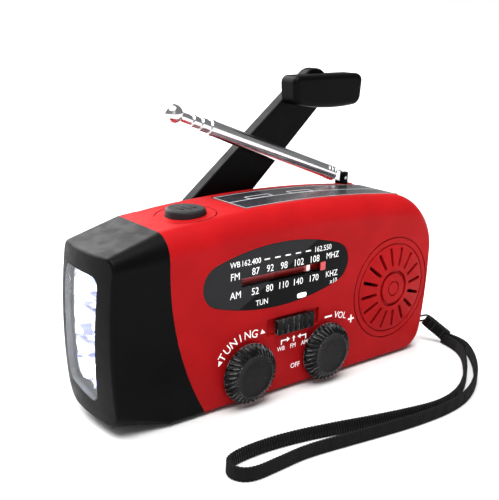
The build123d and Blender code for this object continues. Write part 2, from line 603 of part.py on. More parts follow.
# ---- charging sockets and their rubber cover ---------------------------------------------------
with BuildPart() as usb_sockets:
    for x_low, x_high, top, deep in ((-8.0, 6.0, 15.9, 4.5), (10.2, 18.4, 13.1, 8.5)):
        add(block(x_low, x_high, deep, BACK - 1.2, 10.1, top))
        add(block(x_low + 0.5, x_high - 0.5, deep + 1, BACK, 10.6, top - 0.5), mode=Mode.SUBTRACT)
        middle = (10.1 + top) / 2
        add(block(x_low + 1.5, x_high - 1.5, deep + 0.5, BACK - 2.4, middle, middle + 0.5))
finish(usb_sockets, "usb_sockets")

with BuildPart() as socket_board:
    add(block(-10, 20, BOARD_Y + 1.5, BACK - WALL, 8.7, 10.1))
finish(socket_board, "socket_board")

COVER_HINGE_Z = 18.5 - 0.7
with BuildPart() as port_cover:
    add(block(-10.7, 20.7, BACK - 0.7, BACK + 0.2, 7.8, COVER_HINGE_Z))
    fillet(port_cover.edges().filter_by(Axis.Y), 1.0)
    fillet(port_cover.faces().sort_by(Axis.Y)[-1].edges(), 0.3)
    add(block(3.5, 6.5, BACK, BACK + 0.4, 8.3, 9.3))
finish(port_cover, "port_cover")

# ---- fasteners ---------------------------------------------------------------------------------
with BuildPart() as case_screws:
    for centre in SCREWS:
        add(rod(centre, 2.2, BACK - 1.5, BACK - 0.4))
        add(rod(centre, 1.1, 2, BACK - 1.5))
        add(block(centre[0] - 1.3, centre[0] + 1.3, BACK - 0.8, BACK, centre[1] - 0.25, centre[1] + 0.25),
            mode=Mode.SUBTRACT)
        add(block(centre[0] - 0.25, centre[0] + 0.25, BACK - 0.8, BACK, centre[1] - 1.3, centre[1] + 1.3),
            mode=Mode.SUBTRACT)
finish(case_screws, "case_screws")

# ---- crank and dynamo --------------------------------------------------------------------------
GEAR_R, PINION_R = 12.0, 3.0
DYNAMO = (-18.3, 37.1)
HINGE_Y = ARM_Y + ARM_THICK / 2
EYE_R = ARM_THICK / 2
CRANK = Plane(origin=(HUB[0], HINGE_Y, HUB[1]),
              x_dir=(cos(radians(ARM_ANGLE)), 0, sin(radians(ARM_ANGLE))), z_dir=(0, -1, 0))
PIN = Plane(origin=CRANK.origin, x_dir=(0, 1, 0), z_dir=CRANK.y_dir)


def on_crank(s_low, s_high, half_w, y_low, y_high):
    """A box laid along the crank arm, s measured from its hinge."""
    with BuildPart() as solid:
        with BuildSketch(CRANK.offset(HINGE_Y - y_low)):
            with Locations(((s_low + s_high) / 2, 0)):
                Rectangle(s_high - s_low, 2 * half_w)
        extrude(amount=-(y_high - y_low))
    return solid.part


def pin_bar(radius, half_length):
    """A round bar on the crank's hinge line."""
    with BuildPart() as solid:
        with BuildSketch(PIN.offset(-half_length)):
            Circle(radius)
        extrude(amount=2 * half_length)
    return solid.part


with BuildPart() as gear_plate:
    add(block(-41, -11.9, GEAR_PLATE_Y - 0.9, GEAR_PLATE_Y, 16.4, 47.2))
    add(rod(HUB, 2.5 + FIT, 0, 10), mode=Mode.SUBTRACT)
    add(rod(DYNAMO, 1.6, 0, 10), mode=Mode.SUBTRACT)
finish(gear_plate, "gear_plate")

with BuildPart() as crank_shaft:
    add(rod(HUB, 2.5, GEAR_PLATE_Y - 2, BACK - 1))
finish(crank_shaft, "crank_shaft")

with BuildPart() as crank_gear:
    add(rod(HUB, GEAR_R - 0.1, GEAR_PLATE_Y + 0.6, GEAR_PLATE_Y + 3.2))
    add(rod(HUB, 2.5, 0, 20), mode=Mode.SUBTRACT)
    with BuildSketch(Plane.XZ.offset(-GEAR_PLATE_Y - 0.6)):
        with Locations(HUB):
            with PolarLocations(7.2, 6):
                Circle(2.2)
    extrude(amount=-4, mode=Mode.SUBTRACT)
finish(crank_gear, "crank_gear")

with BuildPart() as dynamo:
    add(rod(DYNAMO, 7.8, -7.5, GEAR_PLATE_Y - 0.9))
    add(rod(DYNAMO, 1.0 + FIT, -1.2, 10), mode=Mode.SUBTRACT)
finish(dynamo, "dynamo")

with BuildPart() as dynamo_pinion:
    add(rod(DYNAMO, PINION_R - 0.1, GEAR_PLATE_Y + 0.6, GEAR_PLATE_Y + 3.2))
    add(rod(DYNAMO, 1.0, -1.0, GEAR_PLATE_Y + 0.6))
finish(dynamo_pinion, "dynamo_pinion")

with BuildPart() as crank_hub:
    add(rod(HUB, 8.8, BACK - 1, ARM_Y - 0.2))
    add(pin_bar(EYE_R, 4.4))
    add(on_crank(-EYE_R, EYE_R, 4.4, ARM_Y - 0.3, HINGE_Y))
    add(pin_bar(1.0 + FIT, 9), mode=Mode.SUBTRACT)
finish(crank_hub, "crank_hub")

with BuildPart() as crank_pin:
    add(pin_bar(1.0, ARM_ROOT_W / 2 - 0.1))
finish(crank_pin, "crank_pin")

with BuildPart() as crank_arm:
    with BuildSketch(CRANK.offset(EYE_R)) as plan:
        with BuildLine():
            half = ARM_ROOT_W / 2
            lean = degrees(atan2(half - ARM_TIP_R, ARM_LENGTH))
            tip = (ARM_LENGTH + ARM_TIP_R * sin(radians(lean)), ARM_TIP_R * cos(radians(lean)))
            Polyline((tip[0], tip[1]), (EYE_R, half), (-EYE_R, half), (-EYE_R, -half), (EYE_R, -half),
                     (tip[0], -tip[1]))
            ThreePointArc((tip[0], -tip[1]), (ARM_LENGTH + ARM_TIP_R, 0), (tip[0], tip[1]))
        make_face()
    extrude(amount=-ARM_THICK)
    outer = crank_arm.faces().sort_by(Axis.Y)
    fillet((outer[0].edges() + outer[-1].edges()).filter_by(
        lambda e: (Vector(*e.center()) - CRANK.origin).dot(CRANK.x_dir) > EYE_R), 0.6)
    with BuildSketch(PIN.offset(-half - 1)):
        with Locations((0, 0)):
            Rectangle(2 * EYE_R, 2 * EYE_R)
            Circle(EYE_R, mode=Mode.SUBTRACT)
        with Locations((0, -EYE_R)):
            Rectangle(3 * EYE_R, 2 * EYE_R, mode=Mode.SUBTRACT)
    extrude(amount=ARM_ROOT_W + 2, mode=Mode.SUBTRACT)
    add(on_crank(-5, 3.0, 4.6, 0, 30), mode=Mode.SUBTRACT)
    add(pin_bar(1.0, 12), mode=Mode.SUBTRACT)
    add(rod(along(ARM_ANGLE, ARM_LENGTH), 1.6, 0, ARM_Y + 3.4), mode=Mode.SUBTRACT)
finish(crank_arm, "crank_arm")

GRIP_X, GRIP_Z = along(ARM_ANGLE, ARM_LENGTH)
GRIP_Y = ARM_Y - 0.2
GRIP_FACE = 1.8                              # thickness of the grip's closed front
with BuildPart() as grip_pin:
    add(rod((GRIP_X, GRIP_Z), 1.6, GRIP_Y - GRIP_THICK + GRIP_FACE + 0.3, ARM_Y + 3.4))
finish(grip_pin, "grip_pin")

with BuildPart() as crank_grip:
    with BuildSketch(Plane.XZ.offset(-GRIP_Y)) as plan:
        with BuildLine():
            half = GRIP_LENGTH / 2
            left, right = GRIP_X - half, GRIP_X + half
            ThreePointArc((left, GRIP_Z + 4.1), (GRIP_X, GRIP_Z + 4.5), (right, GRIP_Z + 4.7))
            Line((right, GRIP_Z + 4.7), (right - 0.8, GRIP_Z - 5.2))
            ThreePointArc((right - 0.8, GRIP_Z - 5.2), (GRIP_X, GRIP_Z - 6.2), (left + 0.8, GRIP_Z - 4.6))
            Line((left + 0.8, GRIP_Z - 4.6), (left, GRIP_Z + 4.1))
        make_face()
        ends = plan.vertices().sort_by(Axis.Y)
        fillet(ends[2:], 2.4)
        fillet(plan.vertices().sort_by(Axis.Y)[:2], 3.2)
    extrude(amount=GRIP_THICK)
    fillet(crank_grip.faces().sort_by(Axis.Y)[0].edges(), 1.6)
    add(rod((GRIP_X, GRIP_Z), 1.6 + FIT, GRIP_Y - GRIP_THICK + GRIP_FACE, 20), mode=Mode.SUBTRACT)
finish(crank_grip, "crank_grip")

# ---- telescopic aerial -------------------------------------------------------------------------
AERIAL_RADII = (2.45, 2.15, 1.85, 1.55)
AERIAL_STARTS = (5.0, 6.9, 7.4, 7.9)
AERIAL_ENDS = (60.5, 63.9, 67.0, 71.0)
KNUCKLE_W = 1.1                              # half the width of the aerial's knuckle
POLE = Plane(origin=AERIAL, x_dir=(0, 1, 0),
             z_dir=(-cos(radians(AERIAL_ANGLE)), 0, sin(radians(AERIAL_ANGLE))))


def tube(outer, inner, start, end):
    """A tube on the aerial's line, from start to end along it."""
    with BuildPart() as solid:
        with BuildSketch(POLE.offset(start)):
            Circle(outer)
            if inner:
                Circle(inner, mode=Mode.SUBTRACT)
        extrude(amount=end - start)
    return solid.part


with BuildPart() as aerial_base:
    add(upright(AERIAL[:2], AERIAL_BASE_R, 48.6, AERIAL[2]))
    with BuildSketch(Plane.XZ.offset(-(AERIAL[1] - AERIAL_BASE_R))):
        with Locations((AERIAL[0], AERIAL[2])):
            Circle(AERIAL_BASE_R)
    extrude(amount=-2 * AERIAL_BASE_R)
    add(upright(AERIAL[:2], AERIAL_BASE_R, 48.6, 62), mode=Mode.INTERSECT)
    add(block(AERIAL[0] - 5, AERIAL[0] + 5, AERIAL[1] - KNUCKLE_W - FIT, AERIAL[1] + KNUCKLE_W + FIT,
              AERIAL[2] - 2.3, 62), mode=Mode.SUBTRACT)
    add(rod((AERIAL[0], AERIAL[2]), 0.6, 0, 20), mode=Mode.SUBTRACT)
finish(aerial_base, "aerial_base")

with BuildPart() as aerial_pin:
    add(rod((AERIAL[0], AERIAL[2]), 0.6, AERIAL[1] - 2.0, AERIAL[1] + 2.0))
finish(aerial_pin, "aerial_pin")

with BuildPart() as aerial_tube_1:
    add(tube(AERIAL_RADII[0], 0, AERIAL_STARTS[0], AERIAL_ENDS[0]))
    add(rod((AERIAL[0], AERIAL[2]), 2.0, AERIAL[1] - KNUCKLE_W, AERIAL[1] + KNUCKLE_W))
    with BuildSketch(POLE):
        Rectangle(2 * KNUCKLE_W, 3.2)
    extrude(amount=AERIAL_STARTS[0] + 0.3)
    add(tube(AERIAL_RADII[1] + FIT, 0, AERIAL_STARTS[0] + 1.5, AERIAL_ENDS[0]), mode=Mode.SUBTRACT)
    add(rod((AERIAL[0], AERIAL[2]), 0.6 + FIT, 0, 20), mode=Mode.SUBTRACT)
finish(aerial_tube_1, "aerial_tube_1")

with BuildPart() as aerial_tube_2:
    add(tube(AERIAL_RADII[1], AERIAL_RADII[2] + FIT, AERIAL_STARTS[1], AERIAL_ENDS[1]))
finish(aerial_tube_2, "aerial_tube_2")

with BuildPart() as aerial_tube_3:
    add(tube(AERIAL_RADII[2], AERIAL_RADII[3] + FIT, AERIAL_STARTS[2], AERIAL_ENDS[2]))
finish(aerial_tube_3, "aerial_tube_3")

with BuildPart() as aerial_rod:
    add(tube(AERIAL_RADII[3], 0, AERIAL_STARTS[3], AERIAL_ENDS[3]))
finish(aerial_rod, "aerial_rod")

with BuildPart() as aerial_tip:
    with Locations(POLE.offset(73.4)):
        Sphere(2.9)
    add(tube(5, 0, 60, AERIAL_ENDS[3]), mode=Mode.SUBTRACT)
finish(aerial_tip, "aerial_tip")

# ---- wrist strap -------------------------------------------------------------------------------
STRAP_W, STRAP_T = 4.0, 1.2
STRING_D = 0.8
LOOP_ROUTE = (
    (67.1, -17.6), (66.2, -24.2), (61.6, -31.2), (53.8, -38.2), (44.6, -45.0), (34.6, -50.1),
    (24.0, -51.9), (13.0, -50.0), (1.0, -47.2), (-12.0, -43.6), (-24.0, -40.9), (-35.0, -39.9),
    (-45.0, -40.9), (-47.2, -45.5), (-44.0, -49.6), (-34.6, -49.2), (-25.4, -48.6), (-15.4, -49.9),
    (-4.0, -51.6), (10.0, -53.5), (24.0, -54.2), (35.6, -52.6), (46.2, -47.8), (55.6, -41.0),
    (63.8, -33.0), (69.4, -24.8), (68.6, -17.2),
)


def bend_radii(points):
    """The radius of each bend: 0.45 of its shorter run over the tangent of half the turn."""
    found = []
    for before, here, after in zip(points, points[1:], points[2:]):
        come, go = Vector(*here) - Vector(*before), Vector(*after) - Vector(*here)
        half_turn = radians(come.get_angle(go)) / 2
        found.append(0.45 * min(come.length, go.length) * cos(half_turn) / sin(half_turn))
    return found


strap_bends = bend_radii(LOOP_ROUTE)
with BuildPart() as strap_loop:
    with BuildSketch():
        with BuildLine() as route:
            FilletPolyline(*LOOP_ROUTE, radius=strap_bends)
        trace(line_width=STRAP_T)
    extrude(amount=STRAP_W)
finish(strap_loop, "strap_loop")
strap_length = route.wires()[0].length
print("strap bends", [round(r, 1) for r in strap_bends], "length", round(strap_length, 1),
      "volume share", round(strap_loop.part.volume / (strap_length * STRAP_W * STRAP_T), 3))

CLAMP_LINE = Vector(*CLAMP_POINTS[1]) - Vector(*CLAMP_POINTS[0])
with BuildPart() as strap_clamp:
    with BuildSketch(Plane(origin=CLAMP_POINTS[0], z_dir=CLAMP_LINE, x_dir=Vector(0, 0, 1).cross(CLAMP_LINE))):
        RectangleRounded(3.2, STRAP_W + 0.2, 0.5)
    extrude(amount=CLAMP_LINE.length)
finish(strap_clamp, "strap_clamp")

with BuildPart() as strap_bar:
    add(rod(LUG, 0.5, -12.5, -5.5))
finish(strap_bar, "strap_bar")

reach = Vector(CLAMP_POINTS[0][0] - LUG[0], CLAMP_POINTS[0][1] + 9.0, 0).normalized()
around = Vector(LUG[0], -9.0, LUG[1]) - reach * 0.95
string_end = Vector(LUG[0], -9.0, LUG[1]) + reach * 8.8
lift = Vector(0, 0, 0.95)
string_route = [tuple(p) for p in (string_end + lift, around + lift, around - lift, string_end - lift)]
string_bends = bend_radii(string_route)
with BuildPart() as strap_string:
    with BuildLine() as string_line:
        FilletPolyline(*string_route, radius=string_bends)
    string_wire = string_line.wires()[0]
    with BuildSketch(Plane(origin=string_wire @ 0, z_dir=string_wire % 0)):
        Circle(STRING_D / 2)
    sweep()
finish(strap_string, "strap_string")
print("string bends", [round(r, 2) for r in string_bends], "length", round(string_wire.length, 1),
      "volume share", round(strap_string.part.volume / (string_wire.length * pi * STRING_D ** 2 / 4), 3))
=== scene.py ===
import json
from math import cos, pi, radians, sin, sqrt

import bmesh
import bpy
from mathutils import Matrix, Vector
from mathutils.bvhtree import BVHTree


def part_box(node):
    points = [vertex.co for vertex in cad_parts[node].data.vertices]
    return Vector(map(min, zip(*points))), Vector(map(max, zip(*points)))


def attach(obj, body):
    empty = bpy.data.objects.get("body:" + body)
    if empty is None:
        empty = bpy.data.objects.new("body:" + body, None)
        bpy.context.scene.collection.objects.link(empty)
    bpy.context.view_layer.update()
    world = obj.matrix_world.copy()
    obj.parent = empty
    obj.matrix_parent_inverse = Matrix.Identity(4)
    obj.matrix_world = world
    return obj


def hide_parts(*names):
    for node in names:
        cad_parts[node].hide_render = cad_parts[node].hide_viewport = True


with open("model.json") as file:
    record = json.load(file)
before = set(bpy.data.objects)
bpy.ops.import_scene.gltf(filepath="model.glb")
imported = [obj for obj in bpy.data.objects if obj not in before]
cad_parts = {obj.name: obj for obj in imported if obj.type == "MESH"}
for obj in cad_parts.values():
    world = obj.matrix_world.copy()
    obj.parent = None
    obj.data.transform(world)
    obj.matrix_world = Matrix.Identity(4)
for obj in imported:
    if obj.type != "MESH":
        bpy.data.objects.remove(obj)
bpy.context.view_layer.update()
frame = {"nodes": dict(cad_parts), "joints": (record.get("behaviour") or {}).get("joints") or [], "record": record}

MM = 0.001
NODES = frame["nodes"]
SLOT_OF = {part["node"]: part["material_slot"] for part in frame["record"]["subparts"]}


def middle(name):
    """The middle of a CAD node's box."""
    low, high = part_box(name)
    return (low + high) / 2


def joint(name):
    """One joint of the record."""
    return next(j for j in frame["joints"] if j["name"] == name)


# ---- camera, at the photograph's viewing angle ---------------------------------------------------
IMAGE_WIDTH = 499
FOCAL_IN_PIXELS = 807.09
camera = bpy.data.objects.new("camera", bpy.data.cameras.new("camera"))
bpy.context.scene.collection.objects.link(camera)
camera.data.sensor_width = 36
camera.data.sensor_fit = "HORIZONTAL"
camera.data.lens = camera.data.sensor_width * FOCAL_IN_PIXELS / IMAGE_WIDTH
camera.data.clip_start = 0.01
right = Vector((0.78946, -0.61321, 0.02704))
up = Vector((0.14729, 0.23203, 0.96149))
turned = Matrix((right, up, right.cross(up))).transposed().to_4x4()
camera.matrix_world = Matrix.Translation(Vector((-0.15323, -0.18506, 0.10862))) @ turned
bpy.context.scene.camera = camera
bpy.context.scene.view_settings.view_transform = "Standard"


# ---- material helpers ----------------------------------------------------------------------------
def shader_node(tree, kind, settings=None, **inputs):
    """A new shader node. Inputs are named with _ for a space, and are a value or a socket to link."""
    made = tree.nodes.new("ShaderNode" + kind)
    for name, value in (settings or {}).items():
        setattr(made, name, value)
    for name, value in inputs.items():
        socket = made.inputs[name.replace("_", " ")]
        if isinstance(value, bpy.types.NodeSocket):
            tree.links.new(value, socket)
        else:
            socket.default_value = value
    return made


def place(tree, kind="Object"):
    """Texture coordinates in metres that stay with the piece."""
    return shader_node(tree, "TexCoord").outputs[kind]


def noise(tree, size, detail=2.0, stretch=(1, 1, 1)):
    """Noise with grains of about size, in metres."""
    where = shader_node(tree, "Mapping", Vector=place(tree), Scale=stretch).outputs[0]
    return shader_node(tree, "TexNoise", Vector=where, Scale=1 / size, Detail=detail).outputs["Fac"]


def ranged(tree, value, low, high, to_low, to_high):
    """A value mapped smoothly from one range to another."""
    made = shader_node(tree, "MapRange", {"interpolation_type": "SMOOTHSTEP"}, Value=value, From_Min=low,
                       From_Max=high, To_Min=to_low, To_Max=to_high)
    return made.outputs[0]


def calc(tree, operation, first, second=0.5):
    """One math step."""
    made = shader_node(tree, "Math", {"operation": operation})
    for socket, value in zip(made.inputs, (first, second)):
        if isinstance(value, bpy.types.NodeSocket):
            tree.links.new(value, socket)
        else:
            socket.default_value = value
    return made.outputs[0]


def blended(tree, factor, first, second):
    """A colour between two colours or sockets."""
    made = shader_node(tree, "Mix", {"data_type": "RGBA"})
    tree.links.new(factor, made.inputs[0])
    for socket, value in ((made.inputs[6], first), (made.inputs[7], second)):
        if isinstance(value, bpy.types.NodeSocket):
            tree.links.new(value, socket)
        else:
            socket.default_value = (*value, 1)
    return made.outputs[2]


def scaled(colour, factor):
    """A colour made lighter or darker."""
    return tuple(min(1.0, c * factor) for c in colour)


def new_material(name, metallic=0.0, coat=0.0, specular=0.5):
    """A material with one Principled node."""
    made = bpy.data.materials.new(name)
    made.use_nodes = True
    principled = made.node_tree.nodes["Principled BSDF"]
    principled.inputs["Metallic"].default_value = metallic
    principled.inputs["Coat Weight"].default_value = coat
    principled.inputs["Coat Roughness"].default_value = 0.08
    principled.inputs["Specular IOR Level"].default_value = specular
    return made, made.node_tree, principled


def edge_wear_and_highlight(tree, radius):
    """1 on outward and inward edges, 0 on the flats, broken up by noise."""
    rounded = shader_node(tree, "Bevel", {"samples": 4}, Radius=radius).outputs[0]
    true = shader_node(tree, "NewGeometry").outputs["Normal"]
    level = shader_node(tree, "VectorMath", {"operation": "DOT_PRODUCT"})
    tree.links.new(rounded, level.inputs[0])
    tree.links.new(true, level.inputs[1])
    edge = ranged(tree, level.outputs["Value"], 0.995, 0.86, 0, 1)
    return calc(tree, "MULTIPLY", edge, ranged(tree, noise(tree, 2.5 * MM, 4), 0.42, 0.6, 0, 1))


def textured_bump(tree, principled, height, depth, strength=1.0, soften=0.12 * MM):
    """Relief of a given depth on slightly softened edges."""
    softened = shader_node(tree, "Bevel", {"samples": 4}, Radius=soften).outputs[0]
    bump = shader_node(tree, "Bump", Strength=strength, Distance=depth, Height=height, Normal=softened)
    tree.links.new(bump.outputs[0], principled.inputs["Normal"])


def moulded(name, colour, rough, wear_and_highlight_colour, grain=0.28 * MM, depth=0.006 * MM, wear_and_highlight=0.35, coat=0.0, specular=0.3):
    """Moulded plastic or rubber: spark-eroded grain, slow drifts of colour and gloss, and lighter edges: wear, and
    on the knobs a painted highlight along the flutes.
    """
    made, tree, principled = new_material(name, coat=coat, specular=specular)
    drift = noise(tree, 11 * MM, 3)
    base = blended(tree, ranged(tree, drift, 0.35, 0.65, 0, 1), scaled(colour, 0.93), scaled(colour, 1.06))
    speckle = noise(tree, grain, 3)
    base = blended(tree, ranged(tree, speckle, 0.3, 0.75, 0, 0.25), base, scaled(colour, 1.25))
    base = blended(tree, calc(tree, "MULTIPLY", edge_wear_and_highlight(tree, 0.5 * MM), wear_and_highlight), base, wear_and_highlight_colour)
    tree.links.new(base, principled.inputs["Base Color"])
    smear = noise(tree, 5 * MM, 4, (1, 1, 2.5))
    tree.links.new(ranged(tree, smear, 0.3, 0.7, rough - 0.05, rough + 0.07), principled.inputs["Roughness"])
    textured_bump(tree, principled, speckle, depth)
    return made


def metal(name, colour, rough, stretch=(1, 1, 1), scratch=0.4 * MM, depth=0.002 * MM, dull=0.85):
    """Bare or plated metal with fine drawn lines, slight tarnish and uneven polish."""
    made, tree, principled = new_material(name, metallic=1.0)
    tarnish = noise(tree, 6 * MM, 4)
    base = blended(tree, ranged(tree, tarnish, 0.4, 0.7, 0, 1), colour, scaled(colour, dull))
    tree.links.new(base, principled.inputs["Base Color"])
    lines = noise(tree, scratch, 3, stretch)
    tree.links.new(ranged(tree, lines, 0.3, 0.75, rough, rough + 0.1), principled.inputs["Roughness"])
    textured_bump(tree, principled, lines, depth, soften=0.06 * MM)
    return made


# ---- materials of the record's slots -------------------------------------------------------------
RED = (0.39, 0.0070, 0.0090)
BLACK = (0.0022, 0.0022, 0.0024)
GREY = (0.10, 0.10, 0.105)
REFLECTION_SLANT, REFLECTION_EDGE = 1.75, -0.6 * MM          # the painted reflection, a greyer patch on the dial's left, ends along this line


def clear_plastic(name, tint, alpha, rough):
    """A clear polished window with faint moulding waves and dust."""
    made, tree, principled = new_material(name, coat=1.0)
    waves = noise(tree, 7 * MM, 2)
    dust = noise(tree, 0.5 * MM, 4)
    tree.links.new(blended(tree, dust, tint, scaled(tint, 0.8)), principled.inputs["Base Color"])
    tree.links.new(ranged(tree, dust, 0.45, 0.8, rough, rough + 0.08), principled.inputs["Roughness"])
    principled.inputs["Alpha"].default_value = alpha
    textured_bump(tree, principled, waves, 0.02 * MM, 0.4)
    return made


def lit(name, colour, strength, rough=0.3):
    """A surface that glows, brighter in the middle of each patch of its noise."""
    made, tree, principled = new_material(name)
    patches = noise(tree, 2.2 * MM, 3)
    glow = blended(tree, ranged(tree, patches, 0.35, 0.65, 0, 1), scaled(colour, 0.85), colour)
    tree.links.new(glow, principled.inputs["Base Color"])
    tree.links.new(glow, principled.inputs["Emission Color"])
    principled.inputs["Emission Strength"].default_value = strength
    tree.links.new(ranged(tree, patches, 0.3, 0.7, rough, rough + 0.15), principled.inputs["Roughness"])
    return made


def reflector_plastic(name):
    """Vacuum-plated facets of the torch with painted light: pale and blue facets that glow by themselves in place
    of light from the lamps inside.
    """
    made, tree, principled = new_material(name, metallic=1.0)
    facets = shader_node(tree, "TexVoronoi", {"feature": "F1"}, Vector=place(tree), Scale=1 / (2.6 * MM))
    shade = facets.outputs["Color"]
    level = shader_node(tree, "RGBToBW", Color=shade).outputs[0]
    base = blended(tree, ranged(tree, level, 0.2, 0.8, 0, 1), (0.42, 0.46, 0.85), (0.93, 0.95, 1.0))
    tree.links.new(base, principled.inputs["Base Color"])
    # painted glow: the facets emit light, more on the paler facets
    tree.links.new(base, principled.inputs["Emission Color"])
    tree.links.new(ranged(tree, level, 0.25, 0.9, 0.15, 1.5), principled.inputs["Emission Strength"])
    tree.links.new(ranged(tree, level, 0.2, 0.8, 0.08, 0.25), principled.inputs["Roughness"])
    textured_bump(tree, principled, level, 0.25 * MM)
    return made


def solar_glass(name):
    """Dark cells under glass, with thin collector lines across each cell."""
    made, tree, principled = new_material(name, specular=0.4)
    cells = noise(tree, 2.5 * MM, 2, (3, 1, 1))
    base = blended(tree, ranged(tree, cells, 0.35, 0.65, 0, 1), (0.020, 0.020, 0.024), (0.034, 0.033, 0.040))
    x = shader_node(tree, "SeparateXYZ", Vector=place(tree)).outputs[0]
    phase = calc(tree, "FRACT", calc(tree, "DIVIDE", x, 2.15 * MM))
    line = calc(tree, "LESS_THAN", phase, 0.06)
    base = blended(tree, calc(tree, "MULTIPLY", line, 0.35), base, (0.20, 0.20, 0.21))
    tree.links.new(base, principled.inputs["Base Color"])
    tree.links.new(ranged(tree, noise(tree, 0.8 * MM, 3), 0.3, 0.7, 0.16, 0.26),
                   principled.inputs["Roughness"])
    return made


def inside(tree, axes, centre, half_x, half_z):
    """1 inside a rectangle of the dial, with slightly soft edges, else 0."""
    soft = 0.12 * MM
    found = None
    for axis, middle_at, half in ((0, centre[0], half_x), (2, centre[1], half_z)):
        off = calc(tree, "ABSOLUTE", calc(tree, "SUBTRACT", axes.outputs[axis], middle_at))
        near = ranged(tree, off, half - soft, half + soft, 1, 0)
        found = near if found is None else calc(tree, "MULTIPLY", found, near)
    return found


def dial_print_and_painted_reflection(name, windows=()):
    """Glossy black print with a painted reflection, greyer on its left, cut off along a slant. Windows stay clear.
    """
    made, tree, principled = new_material(name, specular=0.05)
    centre = middle("dial_lens")
    axes = shader_node(tree, "SeparateXYZ", Vector=place(tree))
    across = calc(tree, "SUBTRACT", axes.outputs[0], centre.x)
    height = calc(tree, "SUBTRACT", axes.outputs[2], centre.z)
    slant = calc(tree, "SUBTRACT", across, calc(tree, "MULTIPLY", height, REFLECTION_SLANT))
    # painted reflection: the print is greyer left of the slant, standing in for a gloss reflection
    painted_reflection = ranged(tree, slant, REFLECTION_EDGE - 0.25 * MM, REFLECTION_EDGE + 0.25 * MM, 1, 0)
    grain = noise(tree, 0.4 * MM, 2)
    dark = blended(tree, grain, (0.0035, 0.0035, 0.0038), (0.006, 0.006, 0.0065))
    base = blended(tree, painted_reflection, dark, (0.024, 0.024, 0.026))
    tree.links.new(base, principled.inputs["Base Color"])
    tree.links.new(ranged(tree, grain, 0.3, 0.7, 0.16, 0.22), principled.inputs["Roughness"])
    if windows:
        opened = None
        for window in windows:
            this = inside(tree, axes, *window)
            opened = this if opened is None else calc(tree, "MAXIMUM", opened, this)
        tree.links.new(ranged(tree, opened, 0, 1, 1, 0.08), principled.inputs["Alpha"])
    return made


def printed_strip(name):
    """The red stripe of the dial, lighter on its left with the same painted reflection as the print round it."""
    made, tree, principled = new_material(name, coat=0.6)
    x = shader_node(tree, "SeparateXYZ", Vector=place(tree)).outputs[0]
    offset = calc(tree, "SUBTRACT", x, middle("dial_plate").x)
    # painted reflection: the stripe is lighter left of the dial's middle
    painted_reflection = ranged(tree, offset, -0.6 * MM, 0.6 * MM, 1, 0)
    base = blended(tree, painted_reflection, (0.70, 0.016, 0.018), (0.82, 0.07, 0.07))
    base = blended(tree, ranged(tree, noise(tree, 1.2 * MM, 3), 0.4, 0.8, 0, 0.3), base, (0.5, 0.010, 0.012))
    tree.links.new(base, principled.inputs["Base Color"])
    tree.links.new(ranged(tree, noise(tree, 2 * MM, 2), 0.3, 0.7, 0.3, 0.42), principled.inputs["Roughness"])
    return made


def woven(name, colour, pitch, relief):
    """Plain-woven nylon: crossing yarns from two waves laid over the piece's own UV map, in metres."""
    made, tree, principled = new_material(name, specular=0.05)
    axes = shader_node(tree, "SeparateXYZ", Vector=shader_node(tree, "UVMap", {"uv_map": "weave"}).outputs[0])
    along = calc(tree, "MULTIPLY", axes.outputs[0], 2 * pi / pitch)
    across = calc(tree, "MULTIPLY", axes.outputs[1], 2 * pi / pitch)
    yarns = calc(tree, "MULTIPLY", calc(tree, "SINE", along), calc(tree, "SINE", across))
    fuzz = noise(tree, 0.12 * MM, 3)
    height = calc(tree, "ADD", yarns, calc(tree, "MULTIPLY", fuzz, 0.5))
    # painted shade and highlight: the colour darkens in the dips between yarns and lightens on their crowns
    painted_yarn_shade = ranged(tree, height, -0.9, 1.3, 0, 1)
    tree.links.new(blended(tree, painted_yarn_shade, scaled(colour, 0.35), scaled(colour, 1.7)),
                   principled.inputs["Base Color"])
    tree.links.new(ranged(tree, fuzz, 0.3, 0.7, 0.62, 0.85), principled.inputs["Roughness"])
    principled.inputs["Sheen Weight"].default_value = 0.05
    bump = shader_node(tree, "Bump", Strength=1.0, Distance=relief, Height=height)
    tree.links.new(bump.outputs[0], principled.inputs["Normal"])
    return made


def circuit_board(name):
    """Green solder mask with lighter copper tracks under it."""
    made, tree, principled = new_material(name, coat=0.4)
    tracks = shader_node(tree, "TexVoronoi", {"feature": "DISTANCE_TO_EDGE"}, Vector=place(tree),
                         Scale=1 / (3 * MM))
    line = ranged(tree, tracks.outputs["Distance"], 0.03, 0.06, 1, 0)
    base = blended(tree, line, (0.010, 0.085, 0.030), (0.030, 0.20, 0.06))
    tree.links.new(base, principled.inputs["Base Color"])
    tree.links.new(ranged(tree, noise(tree, 1 * MM), 0.3, 0.7, 0.3, 0.45), principled.inputs["Roughness"])
    return made


